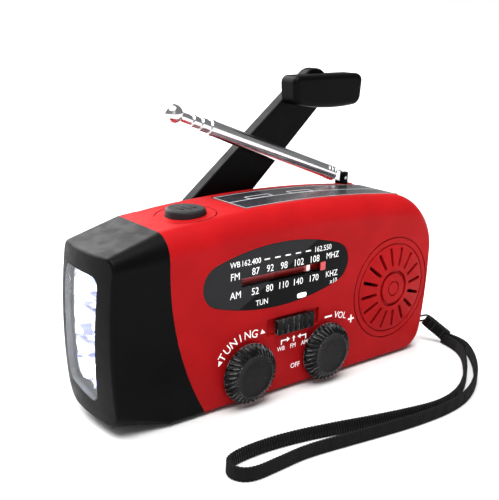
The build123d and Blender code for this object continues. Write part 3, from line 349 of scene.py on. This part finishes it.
PAINT = {
    "red_shell": moulded("red_plastic", RED, 0.40, (0.62, 0.05, 0.05), wear_and_highlight=0.3, specular=0.04),
    "black_shell": moulded("black_plastic", BLACK, 0.40, GREY, wear_and_highlight=0.12, depth=0.008 * MM, specular=0.05),
    "black_rubber": moulded("black_rubber", (0.011, 0.011, 0.012), 0.6, GREY, depth=0.012 * MM, wear_and_highlight=0.15),
    # painted highlight: the knobs' pale grey edge colour at nearly full share lights the flutes' edges, it is not
    # wear
    "knob_black": moulded("knob_plastic", (0.003, 0.003, 0.0033), 0.26, (0.30, 0.30, 0.31), wear_and_highlight=0.9,
                          depth=0.004 * MM, specular=0.15),
    "clear_window": clear_plastic("clear_window", (0.9, 0.92, 0.95), 0.10, 0.04),
    "reflector": reflector_plastic("reflector"),
    "led": lit("led_glow", (1.0, 1.0, 1.0), 9.0),
    "board": circuit_board("circuit_board"),
    "component": moulded("component", (0.012, 0.012, 0.013), 0.5, GREY),
    "solar": solar_glass("solar_glass"),
    "dial_print": dial_print_and_painted_reflection("dial_print_and_painted_reflection"),
    "dial_red": printed_strip("dial_red"),
    # the white print on the dial and the case is given a faint painted glow
    "dial_white": lit("dial_white", (0.93, 0.93, 0.93), 0.4, 0.35),
    "steel": metal("steel", (0.50, 0.50, 0.52), 0.28),
    "chrome": metal("chrome", (0.86, 0.86, 0.88), 0.16, (0.05, 1, 1), dull=0.92),
    "battery_wrap": moulded("battery_wrap", (0.02, 0.06, 0.22), 0.25, (0.3, 0.35, 0.5)),
    "paper": moulded("cone_paper", (0.020, 0.018, 0.017), 0.85, GREY, grain=0.5 * MM, depth=0.05 * MM),
    "ferrite": metal("ferrite", (0.10, 0.10, 0.105), 0.55, depth=0.02 * MM),
    "copper": metal("copper", (0.75, 0.36, 0.20), 0.3, (12, 1, 1), depth=0.03 * MM),
    "nylon": moulded("white_nylon", (0.70, 0.69, 0.65), 0.45, (0.8, 0.79, 0.75)),
    "webbing": woven("webbing", (0.004, 0.004, 0.0045), 0.8 * MM, 0.12 * MM),
    "cord": moulded("string", (0.020, 0.020, 0.021), 0.75, GREY, grain=0.1 * MM, depth=0.05 * MM),
}
for name, body_node in NODES.items():
    body_node.data.materials.clear()
    body_node.data.materials.append(PAINT[SLOT_OF[name]])

strip = middle("dial_strip")
strip_low, strip_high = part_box("dial_strip")
LEDGE = 1.0 * MM                                   # the strip reaches this far behind the print all round
slit = ((strip.x, strip.z), (strip_high.x - strip_low.x) / 2 - LEDGE,
        (strip_high.z - strip_low.z) / 2 - LEDGE)
NODES["dial_lens"].data.materials[0] = dial_print_and_painted_reflection("dial_lens_print_and_painted_reflection", (slit,))
# the white needle is given a painted glow
NODES["dial_pointer"].data.materials[0] = lit("needle_white_painted_glow", (1.0, 1.0, 1.0), 1.2)


# ---- mesh helpers --------------------------------------------------------------------------------
def piece(name, points, faces, slot, body, replaced=(), paint=None, flat=False):
    """A mesh made in the row frame becomes a named piece that rides a body."""
    mesh = bpy.data.meshes.new(name)
    mesh.from_pydata([tuple(p) for p in points], [], faces)
    work = bmesh.new()
    work.from_mesh(mesh)
    bmesh.ops.recalc_face_normals(work, faces=work.faces)
    work.to_mesh(mesh)
    work.free()
    made = bpy.data.objects.new(name, mesh)
    bpy.context.scene.collection.objects.link(made)
    mesh.materials.append(paint or PAINT[slot])
    if not flat:
        mesh.shade_smooth()
        mesh.set_sharp_from_angle(angle=radians(38))
    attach(made, body)
    if replaced:
        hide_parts(*replaced)
    return made


def skin(rings, caps=True):
    """Points and faces of a tube through rings that have equally many points."""
    count = len(rings[0])
    points = [p for ring in rings for p in ring]
    faces = []
    for ring in range(len(rings) - 1):
        for k in range(count):
            here, after = ring * count + k, ring * count + (k + 1) % count
            faces.append((here, after, after + count, here + count))
    if caps:
        faces.append(tuple(reversed(range(count))))
        faces.append(tuple(range(len(points) - count, len(points))))
    return points, faces


def joined(parts):
    """Several (points, faces) as one."""
    points, faces = [], []
    for some_points, some_faces in parts:
        start = len(points)
        points += list(some_points)
        faces += [tuple(start + k for k in face) for face in some_faces]
    return points, faces


def turned_ring(centre, axis, side, radius, along, count, wobble=None):
    """A ring of points round an axis. wobble(angle) scales the radius."""
    other = axis.cross(side)
    ring = []
    for k in range(count):
        angle = 2 * pi * k / count
        reach = radius * (wobble(angle) if wobble else 1)
        ring.append(centre + axis * along + (side * cos(angle) + other * sin(angle)) * reach)
    return ring


def turned_shape(centre, axis, side, profile, count=48):
    """A lathe-turned solid: profile is (distance along the axis, radius), in metres."""
    return skin([turned_ring(centre, axis, side, radius, along, count) for along, radius in profile])


def rounded_loop(half_a, half_b, radius, steps=4):
    """Points round a rounded rectangle, as (a, b)."""
    loop = []
    for turn, (sign_a, sign_b) in enumerate(((1, 1), (-1, 1), (-1, -1), (1, -1))):
        for step in range(steps + 1):
            angle = radians(90 * turn + 90 * step / steps)
            loop.append((sign_a * (half_a - radius) + radius * cos(angle),
                         sign_b * (half_b - radius) + radius * sin(angle)))
    return loop


def tube_along(line, radius, count=8):
    """A round tube through a list of points."""
    rings = []
    for k, point in enumerate(line):
        ahead = (line[min(k + 1, len(line) - 1)] - line[max(k - 1, 0)]).normalized()
        side = ahead.orthogonal().normalized() if k == 0 else (side - ahead * side.dot(ahead)).normalized()
        rings.append(turned_ring(point, ahead, side, radius, 0, count))
    return skin(rings)


# ---- wrist strap ---------------------------------------------------------------------------------
WEB_THICK, WEB_WIDE = 1.2 * MM, 4.0 * MM
LOOP_ROUTE = (
    (67.1, -17.6), (66.2, -24.2), (61.6, -31.2), (53.8, -38.2), (44.6, -45.0), (34.6, -50.1),
    (24.0, -51.9), (13.0, -50.0), (1.0, -47.2), (-12.0, -43.6), (-24.0, -40.9), (-35.0, -39.9),
    (-45.0, -40.9), (-47.2, -45.5), (-44.0, -49.6), (-34.6, -49.2), (-25.4, -48.6), (-15.4, -49.9),
    (-4.0, -51.6), (10.0, -53.5), (24.0, -54.2), (35.6, -52.6), (46.2, -47.8), (55.6, -41.0),
    (63.8, -33.0), (69.4, -24.8), (68.6, -17.2),
)
CLAMP_TOP, CLAMP_FOOT = Vector((65.0, -11.0, 7.6)) * MM, Vector((68.2, -18.9, 2.6)) * MM


def nurbs_line(points):
    """Evaluated points of a NURBS spline through a route of control points."""
    curve = bpy.data.curves.new("route", "CURVE")
    curve.dimensions = "3D"
    curve.resolution_u = 64
    spline = curve.splines.new("NURBS")
    spline.points.add(len(points) - 1)
    for control, point in zip(spline.points, points):
        control.co = (*point, 1)
    spline.order_u = 3
    spline.use_endpoint_u = True
    holder = bpy.data.objects.new("route", curve)
    bpy.context.scene.collection.objects.link(holder)
    bpy.context.view_layer.update()
    drawn = bpy.data.meshes.new_from_object(holder.evaluated_get(bpy.context.evaluated_depsgraph_get()))
    line = [v.co.copy() for v in drawn.vertices]
    bpy.data.objects.remove(holder)
    return line


def even_steps(line, step):
    """The line again, in equal steps, and its length."""
    lengths = [0.0]
    for before, here in zip(line, line[1:]):
        lengths.append(lengths[-1] + (here - before).length)
    count = max(2, round(lengths[-1] / step))
    even, at = [], 0
    for k in range(count + 1):
        wanted = lengths[-1] * k / count
        while at < len(lengths) - 2 and lengths[at + 1] < wanted:
            at += 1
        share = (wanted - lengths[at]) / max(lengths[at + 1] - lengths[at], 1e-9)
        even.append(line[at].lerp(line[at + 1], min(1.0, share)))
    return even, lengths[-1]


def weave_map(made, rings, count, step, girth):
    """A UV map in metres: along the band, and round it."""
    layer = made.data.uv_layers.new(name="weave")
    for polygon in made.data.polygons:
        for corner in polygon.loop_indices:
            index = made.data.loops[corner].vertex_index
            layer.data[corner].uv = ((index // count) * step, (index % count) * girth / count)


LOOP_STEP = 0.25 * MM
loop_route = [(x * MM, y * MM, WEB_WIDE / 2) for x, y in LOOP_ROUTE]
loop_line, loop_length = even_steps(nurbs_line(loop_route), LOOP_STEP)
TEETH_PITCH = 1.05 * MM
web_section = rounded_loop(WEB_THICK / 2 - 0.06 * MM, WEB_WIDE / 2 - 0.02 * MM, 0.34 * MM, 3)
web_rings = []
for k, point in enumerate(loop_line):
    ahead = (loop_line[min(k + 1, len(loop_line) - 1)] - loop_line[max(k - 1, 0)]).normalized()
    side = ahead.cross(Vector((0, 0, 1)))
    phase = 2 * pi * k * loop_length / (len(loop_line) - 1) / TEETH_PITCH
    ring = []
    for a, b in web_section:
        tooth = 0.5 + 0.5 * sin(phase + (pi if b > 0 else 0))
        height = b * (1 - 0.10 * tooth) if abs(b) > WEB_WIDE * 0.38 else b
        rib = 1 + 0.10 * sin(phase * 2 + b / (0.5 * MM))
        ring.append(point + side * a * rib + Vector((0, 0, height)))
    web_rings.append(ring)
strap = piece("strap_webbing", *skin(web_rings), "webbing", "case", ["strap_loop"])
weave_map(strap, len(web_rings), len(web_section), loop_length / (len(loop_line) - 1),
          2 * (WEB_THICK + WEB_WIDE))

clamp_axis = (CLAMP_FOOT - CLAMP_TOP).normalized()
clamp_side = Vector((0, 0, 1)).cross(clamp_axis).normalized()
clamp_up = clamp_axis.cross(clamp_side)
clamp_length = (CLAMP_FOOT - CLAMP_TOP).length
CLAMP_STEPS, CLAMP_HALF = 40, 1.5 * MM
clamp_rings = []
for k in range(CLAMP_STEPS + 1):
    share = k / CLAMP_STEPS
    swell = 0.62 + 0.38 * min(1, share * 4.5) ** 0.5
    seam = 1 - 0.07 * max(0.0, cos(2 * pi * share * 4)) ** 6
    tooth = 1 + 0.03 * sin(2 * pi * share * clamp_length / TEETH_PITCH)
    section = rounded_loop(CLAMP_HALF * swell * seam, 2.0 * MM * tooth * (0.8 + 0.2 * swell),
                           0.7 * MM * swell, 3)
    clamp_rings.append([CLAMP_TOP + clamp_axis * clamp_length * share + clamp_side * a + clamp_up * b
                        for a, b in section])
fold = piece("strap_fold", *skin(clamp_rings), "webbing", "case", ["strap_clamp"])
weave_map(fold, len(clamp_rings), len(clamp_rings[0]), clamp_length / CLAMP_STEPS, 12.6 * MM)

stitches = []
for row in (0.24, 0.42, 0.80):
    for k in range(5):
        height = (k - 2) * 0.72 * MM
        for face in (1, -1):
            start = (CLAMP_TOP + clamp_axis * clamp_length * row + clamp_side * face * 1.5 * MM
                     + clamp_up * height)
            bow = [start + clamp_up * (t - 0.5) * 0.6 * MM + clamp_side * face * 0.06 * MM * sin(pi * t)
                   for t in (0, 0.25, 0.5, 0.75, 1)]
            stitches.append(tube_along(bow, 0.10 * MM, 6))
stitching = piece("strap_stitching", *joined(stitches), "webbing", "case", paint=PAINT["cord"])

lug = middle("strap_bar")
string_toward = (Vector((CLAMP_TOP.x, CLAMP_TOP.y, 0)) - Vector((lug.x, lug.y, 0))).normalized()
STRING_HALF, STRING_REACH, STRING_R = 0.95 * MM, 8.8 * MM, 0.4 * MM
string_line = [lug + string_toward * (STRING_REACH - k * 0.4 * MM) + Vector((0, 0, STRING_HALF))
               for k in range(22)]
for k in range(1, 12):
    angle = pi * k / 12
    string_line.append(lug + (-string_toward * sin(angle) + Vector((0, 0, cos(angle)))) * STRING_HALF)
string_line += [lug + string_toward * k * 0.4 * MM - Vector((0, 0, STRING_HALF)) for k in range(23)]
string_even, _ = even_steps(string_line, 0.12 * MM)
strands = []
for strand in range(2):
    wound = []
    for k, point in enumerate(string_even):
        ahead = (string_even[min(k + 1, len(string_even) - 1)] - string_even[max(k - 1, 0)]).normalized()
        flat = Vector((0, 0, 1)).cross(string_toward)
        turn = 2 * pi * k * 0.12 / 1.1 + pi * strand
        wound.append(point + (flat * cos(turn) + ahead.cross(flat) * sin(turn)) * STRING_R * 0.45)
    strands.append(tube_along(wound, STRING_R * 0.53, 8))
string = piece("strap_twine", *joined(strands), "cord", "case", ["strap_string"])


# ---- knobs ---------------------------------------------------------------------------------------
FLUTES = 36
KNOB_PROFILE = (
    (0.30, 9.05, 0.00), (0.8, 9.19, 0.03), (1.4, 9.15, 0.065), (1.9, 8.95, 0.09), (2.35, 8.60, 0.10),
    (2.75, 8.10, 0.10), (3.05, 7.55, 0.09), (3.25, 7.00, 0.065), (3.35, 6.60, 0.03), (3.39, 6.35, 0),
    (3.37, 6.1, 0),
    (3.30, 5.9, 0), (3.30, 4.0, 0), (3.26, 1.8, 0), (3.25, 0.3, 0),
)


def fluted_knob(name, node, body, centre, marker):
    """A domed knob whose rim carries slightly swept finger flutes round a dished face."""
    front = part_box("front_shell")[0].y
    origin = Vector((centre.x, front, centre.z))
    rings = []
    for along, radius, depth in KNOB_PROFILE:
        sweep = (9.2 - radius) * 0.05

        def flute(angle):
            wave = 0.5 + 0.5 * cos(FLUTES * (angle + sweep))
            return 1 - 1.15 * depth * wave ** 0.5

        rings.append(turned_ring(origin, Vector((0, -1, 0)), Vector((1, 0, 0)), radius * MM, along * MM,
                                 FLUTES * 10, flute))
    parts = [skin(rings)]
    if marker:
        spot = origin + Vector((-3.2 * MM, -3.26 * MM, 3.4 * MM))
        dot = ((-0.2 * MM, 0.62 * MM), (0.06 * MM, 0.58 * MM), (0.12 * MM, 0.4 * MM))
        parts.append(turned_shape(spot, Vector((0, -1, 0)), Vector((1, 0, 0)), dot, 20))
    return piece(name, *joined(parts), "knob_black", body, [node])


fluted_knob("tuning_grip", "tuning_knob", "tuning", middle("tuning_knob"), False)
fluted_knob("volume_grip", "volume_knob", "volume", middle("volume_knob"), True)


def slide_key():
    """The band switch's key: a rounded bar with seven upright ribs, on its stem."""
    low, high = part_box("band_slider")
    middle_z = (low.z + high.z) / 2
    ribs = 7
    count = ribs * 12
    rings = []
    for k in range(count + 1):
        share = k / count
        x = low.x + (high.x - low.x) * share
        end = min(1.0, min(share, 1 - share) * 26) ** 0.5
        wave = 0.5 - 0.5 * cos(2 * pi * ribs * share)
        proud = (0.2 + 0.75 * end * (0.15 + 0.85 * wave ** 0.7)) * MM
        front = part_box("front_shell")[0].y
        half = 2.45 * MM * (0.9 + 0.1 * end)
        ring = []
        for a, b in rounded_loop(half, (proud + 1.0 * MM) / 2, min(0.45 * MM, proud), 4):
            ring.append(Vector((x, front + 1.0 * MM - (proud + 1.0 * MM) / 2 + b, middle_z + a)))
        rings.append(ring)
    return piece("band_key", *skin(rings), "knob_black", "band", ["band_slider"])


slide_key()


# ---- lettering -----------------------------------------------------------------------------------
INK_THICK = 0.03 * MM


def glyphs(text, size, x, y, z, angle=0.0, squeeze=0.92, weight=0.0):
    """Points and faces of a line of plain lettering that faces -Y, its middle at (x, z) and its back at y."""
    curve = bpy.data.curves.new("ink", "FONT")
    curve.body = text
    curve.size = size
    curve.align_x = "CENTER"
    curve.align_y = "CENTER"
    curve.extrude = INK_THICK / 2
    curve.resolution_u = 3
    curve.offset = weight
    holder = bpy.data.objects.new("ink", curve)
    bpy.context.scene.collection.objects.link(holder)
    bpy.context.view_layer.update()
    drawn = bpy.data.meshes.new_from_object(holder.evaluated_get(bpy.context.evaluated_depsgraph_get()))
    stand = (Matrix.Translation((x, y - INK_THICK / 2, z)) @ Matrix.Rotation(-angle, 4, "Y")
             @ Matrix.Rotation(radians(90), 4, "X") @ Matrix.Scale(squeeze, 4, (1, 0, 0)))
    points = [stand @ v.co for v in drawn.vertices]
    faces = [tuple(p.vertices) for p in drawn.polygons]
    bpy.data.objects.remove(holder)
    return points, faces


def stamp(outline, y):
    """A flat printed mark through (x, z) corners, standing INK_THICK in front of y."""
    front = [Vector((x, y - INK_THICK, z)) for x, z in outline]
    back = [Vector((x, y, z)) for x, z in outline]
    return skin([front, back])


def bar(x_low, x_high, z_low, z_high, y):
    """A printed bar."""
    return stamp([(x_low, z_low), (x_high, z_low), (x_high, z_high), (x_low, z_high)], y)


plate_low, plate_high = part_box("dial_lens")
dial = (plate_low + plate_high) / 2
COLUMNS = (-9.25, -3.95, 1.25, 6.9, 13.2)
ROW_WB, ROW_FM, ROW_AM = 5.4, 2.4, -3.6
FIGURE = 3.0 * MM
dial_ink = []
for column, fm, am in zip(COLUMNS, ("87", "92", "98", "102", "108"), ("52", "80", "110", "140", "170")):
    dial_ink.append(glyphs(fm, FIGURE, dial.x + column * MM, plate_low.y, dial.z + ROW_FM * MM))
    dial_ink.append(glyphs(am, FIGURE, dial.x + column * MM, plate_low.y, dial.z + ROW_AM * MM))
DIAL_WORDS = (
    ("FM", 3.0, -16.5, ROW_FM - 0.5), ("AM", 3.0, -16.2, ROW_AM), ("MHZ", 2.7, 20.6, ROW_FM + 0.1),
    ("KHZ", 2.7, 20.6, ROW_AM + 0.2), ("x10", 2.2, 21.6, ROW_AM - 2.3), ("TUN", 2.4, -6.6, -7.4),
    ("WB", 2.4, -16.6, ROW_WB), ("162.400", 2.4, -11.0, ROW_WB), ("162.550", 2.4, 16.4, ROW_WB - 0.1),
)
for text, size, x, z in DIAL_WORDS:
    dial_ink.append(glyphs(text, size * MM, dial.x + x * MM, plate_low.y, dial.z + z * MM))
for k in range(5):
    x, z = dial.x + (-5.2 + 3.93 * k) * MM, dial.z + ROW_WB * MM
    dial_ink.append(bar(x - 1.0 * MM, x + 1.0 * MM, z - 0.2 * MM, z + 0.2 * MM, plate_low.y))
piece("dial_lettering", *joined(dial_ink), "dial_white", "case", flat=True)

# the indicator lamp shows as a lit lozenge on the window's face
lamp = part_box("dial_led")
lamp_middle = (lamp[0] + lamp[1]) / 2
LAMP_HALF, LAMP_TALL, LAMP_DROP, LAMP_POINTS = 1.8 * MM, 0.75 * MM, 0.4 * MM, 32
lozenge = []
for k in range(LAMP_POINTS):
    angle = 2 * pi * k / LAMP_POINTS
    square = (abs(cos(angle)) ** 4 + abs(sin(angle)) ** 4) ** -0.25
    lozenge.append((lamp_middle.x + LAMP_HALF * square * cos(angle),
                    lamp_middle.z - LAMP_DROP + LAMP_TALL * square * sin(angle)))
piece("lamp_glow", *stamp(lozenge, plate_low.y), "led", "case", paint=lit("lamp_white", (1.0, 1.0, 1.0), 1.6),
      flat=True)

# the stripe's right end is printed on the window itself
END_LONG = 2.0 * MM
(slit_x, slit_z), slit_half, slit_tall = slit
stripe_end = bar(slit_x + slit_half - END_LONG, slit_x + slit_half, slit_z - slit_tall, slit_z + slit_tall,
                 plate_low.y)
piece("stripe_end", *stripe_end, "dial_red", "case", flat=True)

front_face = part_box("front_shell")[0].y
tuning, volume = middle("tuning_knob"), middle("volume_knob")
case_ink = []
TUNING_ARC, TUNING_FROM, TUNING_TO = 11.7 * MM, 144.0, 80.5
letters = "TUNING"
for k, letter in enumerate(letters):
    angle = radians(TUNING_FROM + (TUNING_TO - TUNING_FROM) * k / (len(letters) - 1))
    case_ink.append(glyphs(letter, 3.5 * MM, tuning.x + TUNING_ARC * cos(angle), front_face,
                           tuning.z + TUNING_ARC * sin(angle), angle - radians(90), 1.0))
for angle, way, arc in ((radians(TUNING_FROM + 9), 1, TUNING_ARC), (radians(TUNING_TO - 14), -1, 12.5 * MM)):
    tip = Vector((cos(angle), sin(angle))) * arc
    along_arc = Vector((-sin(angle), cos(angle))) * way
    out = Vector((cos(angle), sin(angle)))
    corners = [tip + along_arc * 0.9 * MM, tip - along_arc * 0.7 * MM + out * 0.75 * MM,
               tip - along_arc * 0.7 * MM - out * 0.75 * MM]
    case_ink.append(stamp([(tuning.x + c.x, tuning.z + c.y) for c in corners], front_face))
for text, size, x, z, tilt in (("VOL", 3.0, 5.9, 10.4, -14), ("OFF", 2.3, -12.1, -2.0, 0)):
    case_ink.append(glyphs(text, size * MM, volume.x + x * MM, front_face, volume.z + z * MM, radians(tilt)))
minus = (volume.x + 0.8 * MM, volume.z + 11.0 * MM)
plus = (volume.x + 10.8 * MM, volume.z + 8.2 * MM)
STROKE, MINUS_HALF, PLUS_HALF = 0.27 * MM, 1.5 * MM, 1.3 * MM
strokes = ((minus, MINUS_HALF, STROKE), (plus, PLUS_HALF, STROKE), (plus, STROKE, PLUS_HALF))
for (x, z), half_x, half_z in strokes:
    case_ink.append(bar(x - half_x, x + half_x, z - half_z, z + half_z, front_face))
key_low, key_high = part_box("band_slider")
key_x, key_z = (key_low.x + key_high.x) / 2 - 0.6 * MM, (key_low.z + key_high.z) / 2
for text, x in (("WB", -4.9), ("FM", -0.2), ("AM", 4.4)):
    case_ink.append(glyphs(text, 2.0 * MM, key_x + x * MM, front_face, key_z - 7.05 * MM))
for side in (1, -1):
    foot, top, head = key_x + side * 5.0 * MM, key_z - 4.3 * MM, key_x + side * 2.4 * MM
    inner = foot - side * 0.4 * MM
    case_ink.append(bar(min(foot, inner), max(foot, inner), top - 1.5 * MM, top, front_face))
    case_ink.append(bar(min(foot, head), max(foot, head), top - 0.4 * MM, top, front_face))
    point, back = head - side * 0.9 * MM, head + side * 0.3 * MM
    case_ink.append(stamp([(point, top - 0.2 * MM), (back, top + 0.55 * MM), (back, top - 0.95 * MM)],
                          front_face))
arrow_up = ((-0.6, -4.6), (0, -3.7), (0.6, -4.6), (0.2, -4.6), (0.2, -5.7), (-0.2, -5.7), (-0.2, -4.6))
case_ink.append(stamp([(key_x + x * MM, key_z + z * MM) for x, z in arrow_up], front_face))
piece("case_lettering", *joined(case_ink), "dial_white", "case", flat=True)


# ---- torch button, solar cells -------------------------------------------------------------------
button_low, button_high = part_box("torch_button")
button = (button_low + button_high) / 2
bars = []
for x, half_length in ((-2.2, 2.3), (0.0, 3.2), (2.2, 2.3)):
    rings = []
    for k in range(13):
        share = 2 * k / 12 - 1
        width = 0.48 * MM * sqrt(max(0.02, 1 - abs(share) ** 6))
        centre = Vector((button.x + x * MM, button.y + share * half_length * MM, button_high.z - 0.1 * MM))
        section = rounded_loop(width, 0.38 * MM * (width / (0.48 * MM)), 0.3 * width, 2)
        rings.append([centre + Vector((a, 0, b)) for a, b in section])
    bars.append(skin(rings))
piece("button_bars", *joined(bars), "black_rubber", "torch_key")

panel_tree = BVHTree.FromPolygons([v.co.copy() for v in NODES["solar_panel"].data.vertices],
                                  [tuple(p.vertices) for p in NODES["solar_panel"].data.polygons])


def panel_top(x, y):
    """The point of the solar panel's glass above (x, y)."""
    return panel_tree.ray_cast(Vector((x, y, 1)), Vector((0, 0, -1)))[0].z


def panel_line(points, half):
    """A thin foil strip that follows the curved glass through (x, y) points."""
    rings = []
    for before, here in zip(points, points[1:]):
        steps = max(2, round((Vector(here) - Vector(before)).length / (1.5 * MM)))
        for k in range(steps + 1):
            spot = Vector(before).lerp(Vector(here), k / steps)
            way = (Vector(here) - Vector(before)).normalized()
            side = Vector((-way.y, way.x, 0)) * half
            base = Vector((spot.x, spot.y, panel_top(spot.x, spot.y)))
            lift = Vector((0, 0, 0.035 * MM))
            rings.append([base - side - lift, base + side - lift, base + side + lift, base - side + lift])
    return skin(rings)


panel_low, panel_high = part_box("solar_panel")
inset = 0.8 * MM
x_low, x_high = panel_low.x + inset, panel_high.x - inset
y_low, y_high = panel_low.y + inset, panel_high.y - inset
y_middle = (y_low + y_high) / 2
RIM_HALF = 0.16 * MM
foil = [panel_line([(x_low, y_low), (x_high, y_low)], RIM_HALF),
        panel_line([(x_low, y_high), (x_high, y_high)], RIM_HALF),
        panel_line([(x_low, y_low), (x_low, y_high)], RIM_HALF),
        panel_line([(x_high, y_low), (x_high, y_high)], RIM_HALF),
        panel_line([(x_low, y_middle), (x_high, y_middle)], 0.2 * MM)]
LOOP_HALF, LOOP_NEAR, LOOP_FAR = 4.5 * MM, 0.3 * MM, 3.0 * MM
for x in (-1.7 * MM, 15.0 * MM):
    loop = [(x - LOOP_HALF, y_middle + LOOP_NEAR), (x + LOOP_HALF, y_middle + LOOP_NEAR),
            (x + LOOP_HALF, y_middle + LOOP_FAR), (x - LOOP_HALF, y_middle + LOOP_FAR),
            (x - LOOP_HALF, y_middle + LOOP_NEAR)]
    foil += [panel_line([a, b], 0.24 * MM) for a, b in zip(loop, loop[1:])]
piece("solar_foil", *joined(foil), "steel", "case", flat=True,
      paint=moulded("foil", (0.45, 0.45, 0.46), 0.5, (0.6, 0.6, 0.6)))


# ---- aerial collars ------------------------------------------------------------------------------
pull = Vector(joint("aerial_pull_2")["axis"]).normalized()
pivot = Vector(joint("aerial_tilt")["pos_m"])
AERIAL_SIDE = Vector((0, 1, 0))
LIP = 0.12 * MM


def reach(node):
    """How far a node extends along the aerial from its pivot."""
    return max((v.co - pivot).dot(pull) for v in NODES[node].data.vertices)


def collar(start, end, radius):
    """A rounded bead round the aerial."""
    edge = 0.12 * MM
    profile = ((start, radius - 0.3 * MM), (start, radius), (start + edge, radius + LIP),
               (end - edge, radius + LIP), (end, radius), (end, radius - 0.3 * MM))
    return turned_shape(pivot, pull, AERIAL_SIDE, profile, 40)


TUBE_R = (2.45 * MM, 2.15 * MM, 1.85 * MM)
beads = [collar(s * MM, (s + 0.7) * MM, TUBE_R[0]) for s in (5.2, 6.7, 8.2)]
beads.append(collar(reach("aerial_tube_1") - 1.6 * MM, reach("aerial_tube_1") - 0.05 * MM, TUBE_R[0]))
piece("aerial_beads", *joined(beads), "chrome", "aerial_1")
for name, node, radius in (("aerial_collar_2", "aerial_tube_2", TUBE_R[1]),
                           ("aerial_collar_3", "aerial_tube_3", TUBE_R[2])):
    end = reach(node)
    piece(name, *collar(end - 1.1 * MM, end - 0.05 * MM, radius), "chrome", node.replace("tube_", ""))


# ---- floor, surroundings and lights --------------------------------------------------------------
FLOOR_HALF = 6.0
floor_mesh = bpy.data.meshes.new("floor")
floor_corners = [(x * FLOOR_HALF, y * FLOOR_HALF, 0) for x, y in ((-1, -1), (1, -1), (1, 1), (-1, 1))]
floor_mesh.from_pydata(floor_corners, [], [(0, 1, 2, 3)])
floor = bpy.data.objects.new("floor", floor_mesh)
bpy.context.scene.collection.objects.link(floor)
floor_paint, floor_tree, floor_shader = new_material("paper_floor", specular=0.0)
fleck = noise(floor_tree, 3 * MM, 2)
floor_tree.links.new(blended(floor_tree, fleck, (0.74, 0.74, 0.74), (0.76, 0.76, 0.76)),
                     floor_shader.inputs["Base Color"])
floor_shader.inputs["Roughness"].default_value = 1.0
floor_mesh.materials.append(floor_paint)

# a white room seen directly; what it casts is dim in front and bright in a soft patch high at the back
ROOM_DIM, ROOM_BRIGHT = 0.21, 8.0
BACK_PATCH = Vector((-0.10, 0.90, 0.42)).normalized()
world = bpy.data.worlds.new("studio")
world.use_nodes = True
sky = world.node_tree
ahead = shader_node(sky, "VectorMath", {"operation": "NORMALIZE"}, Vector=place(sky, "Generated")).outputs[0]
toward = shader_node(sky, "VectorMath", {"operation": "DOT_PRODUCT"})
sky.links.new(ahead, toward.inputs[0])
toward.inputs[1].default_value = BACK_PATCH
cast = ranged(sky, toward.outputs["Value"], 0.81, 0.97, ROOM_DIM, ROOM_BRIGHT)
seen = shader_node(sky, "LightPath").outputs["Is Camera Ray"]
sky.links.new(calc(sky, "MAXIMUM", cast, seen), sky.nodes["Background"].inputs["Strength"])
sky.nodes["Background"].inputs["Color"].default_value = (1, 1, 1, 1)
bpy.context.scene.world = world


def lamp_object(name, kind, spot, aim, power):
    """A lamp at spot, turned to aim."""
    data = bpy.data.lights.new(name, kind)
    data.energy = power
    made = bpy.data.objects.new(name, data)
    bpy.context.scene.collection.objects.link(made)
    made.location = spot
    made.rotation_euler = (Vector(aim) - Vector(spot)).to_track_quat("-Z", "Y").to_euler()
    return made


AIM = (0, 0, 0.03)
overhead = lamp_object("overhead", "SUN", (-0.20, -0.12, 1.0), AIM, 5.2)
overhead.data.angle = radians(55)
front_lamp = lamp_object("front", "AREA", (-0.35, -0.80, 0.50), AIM, 0.4)
front_lamp.data.size = 0.5
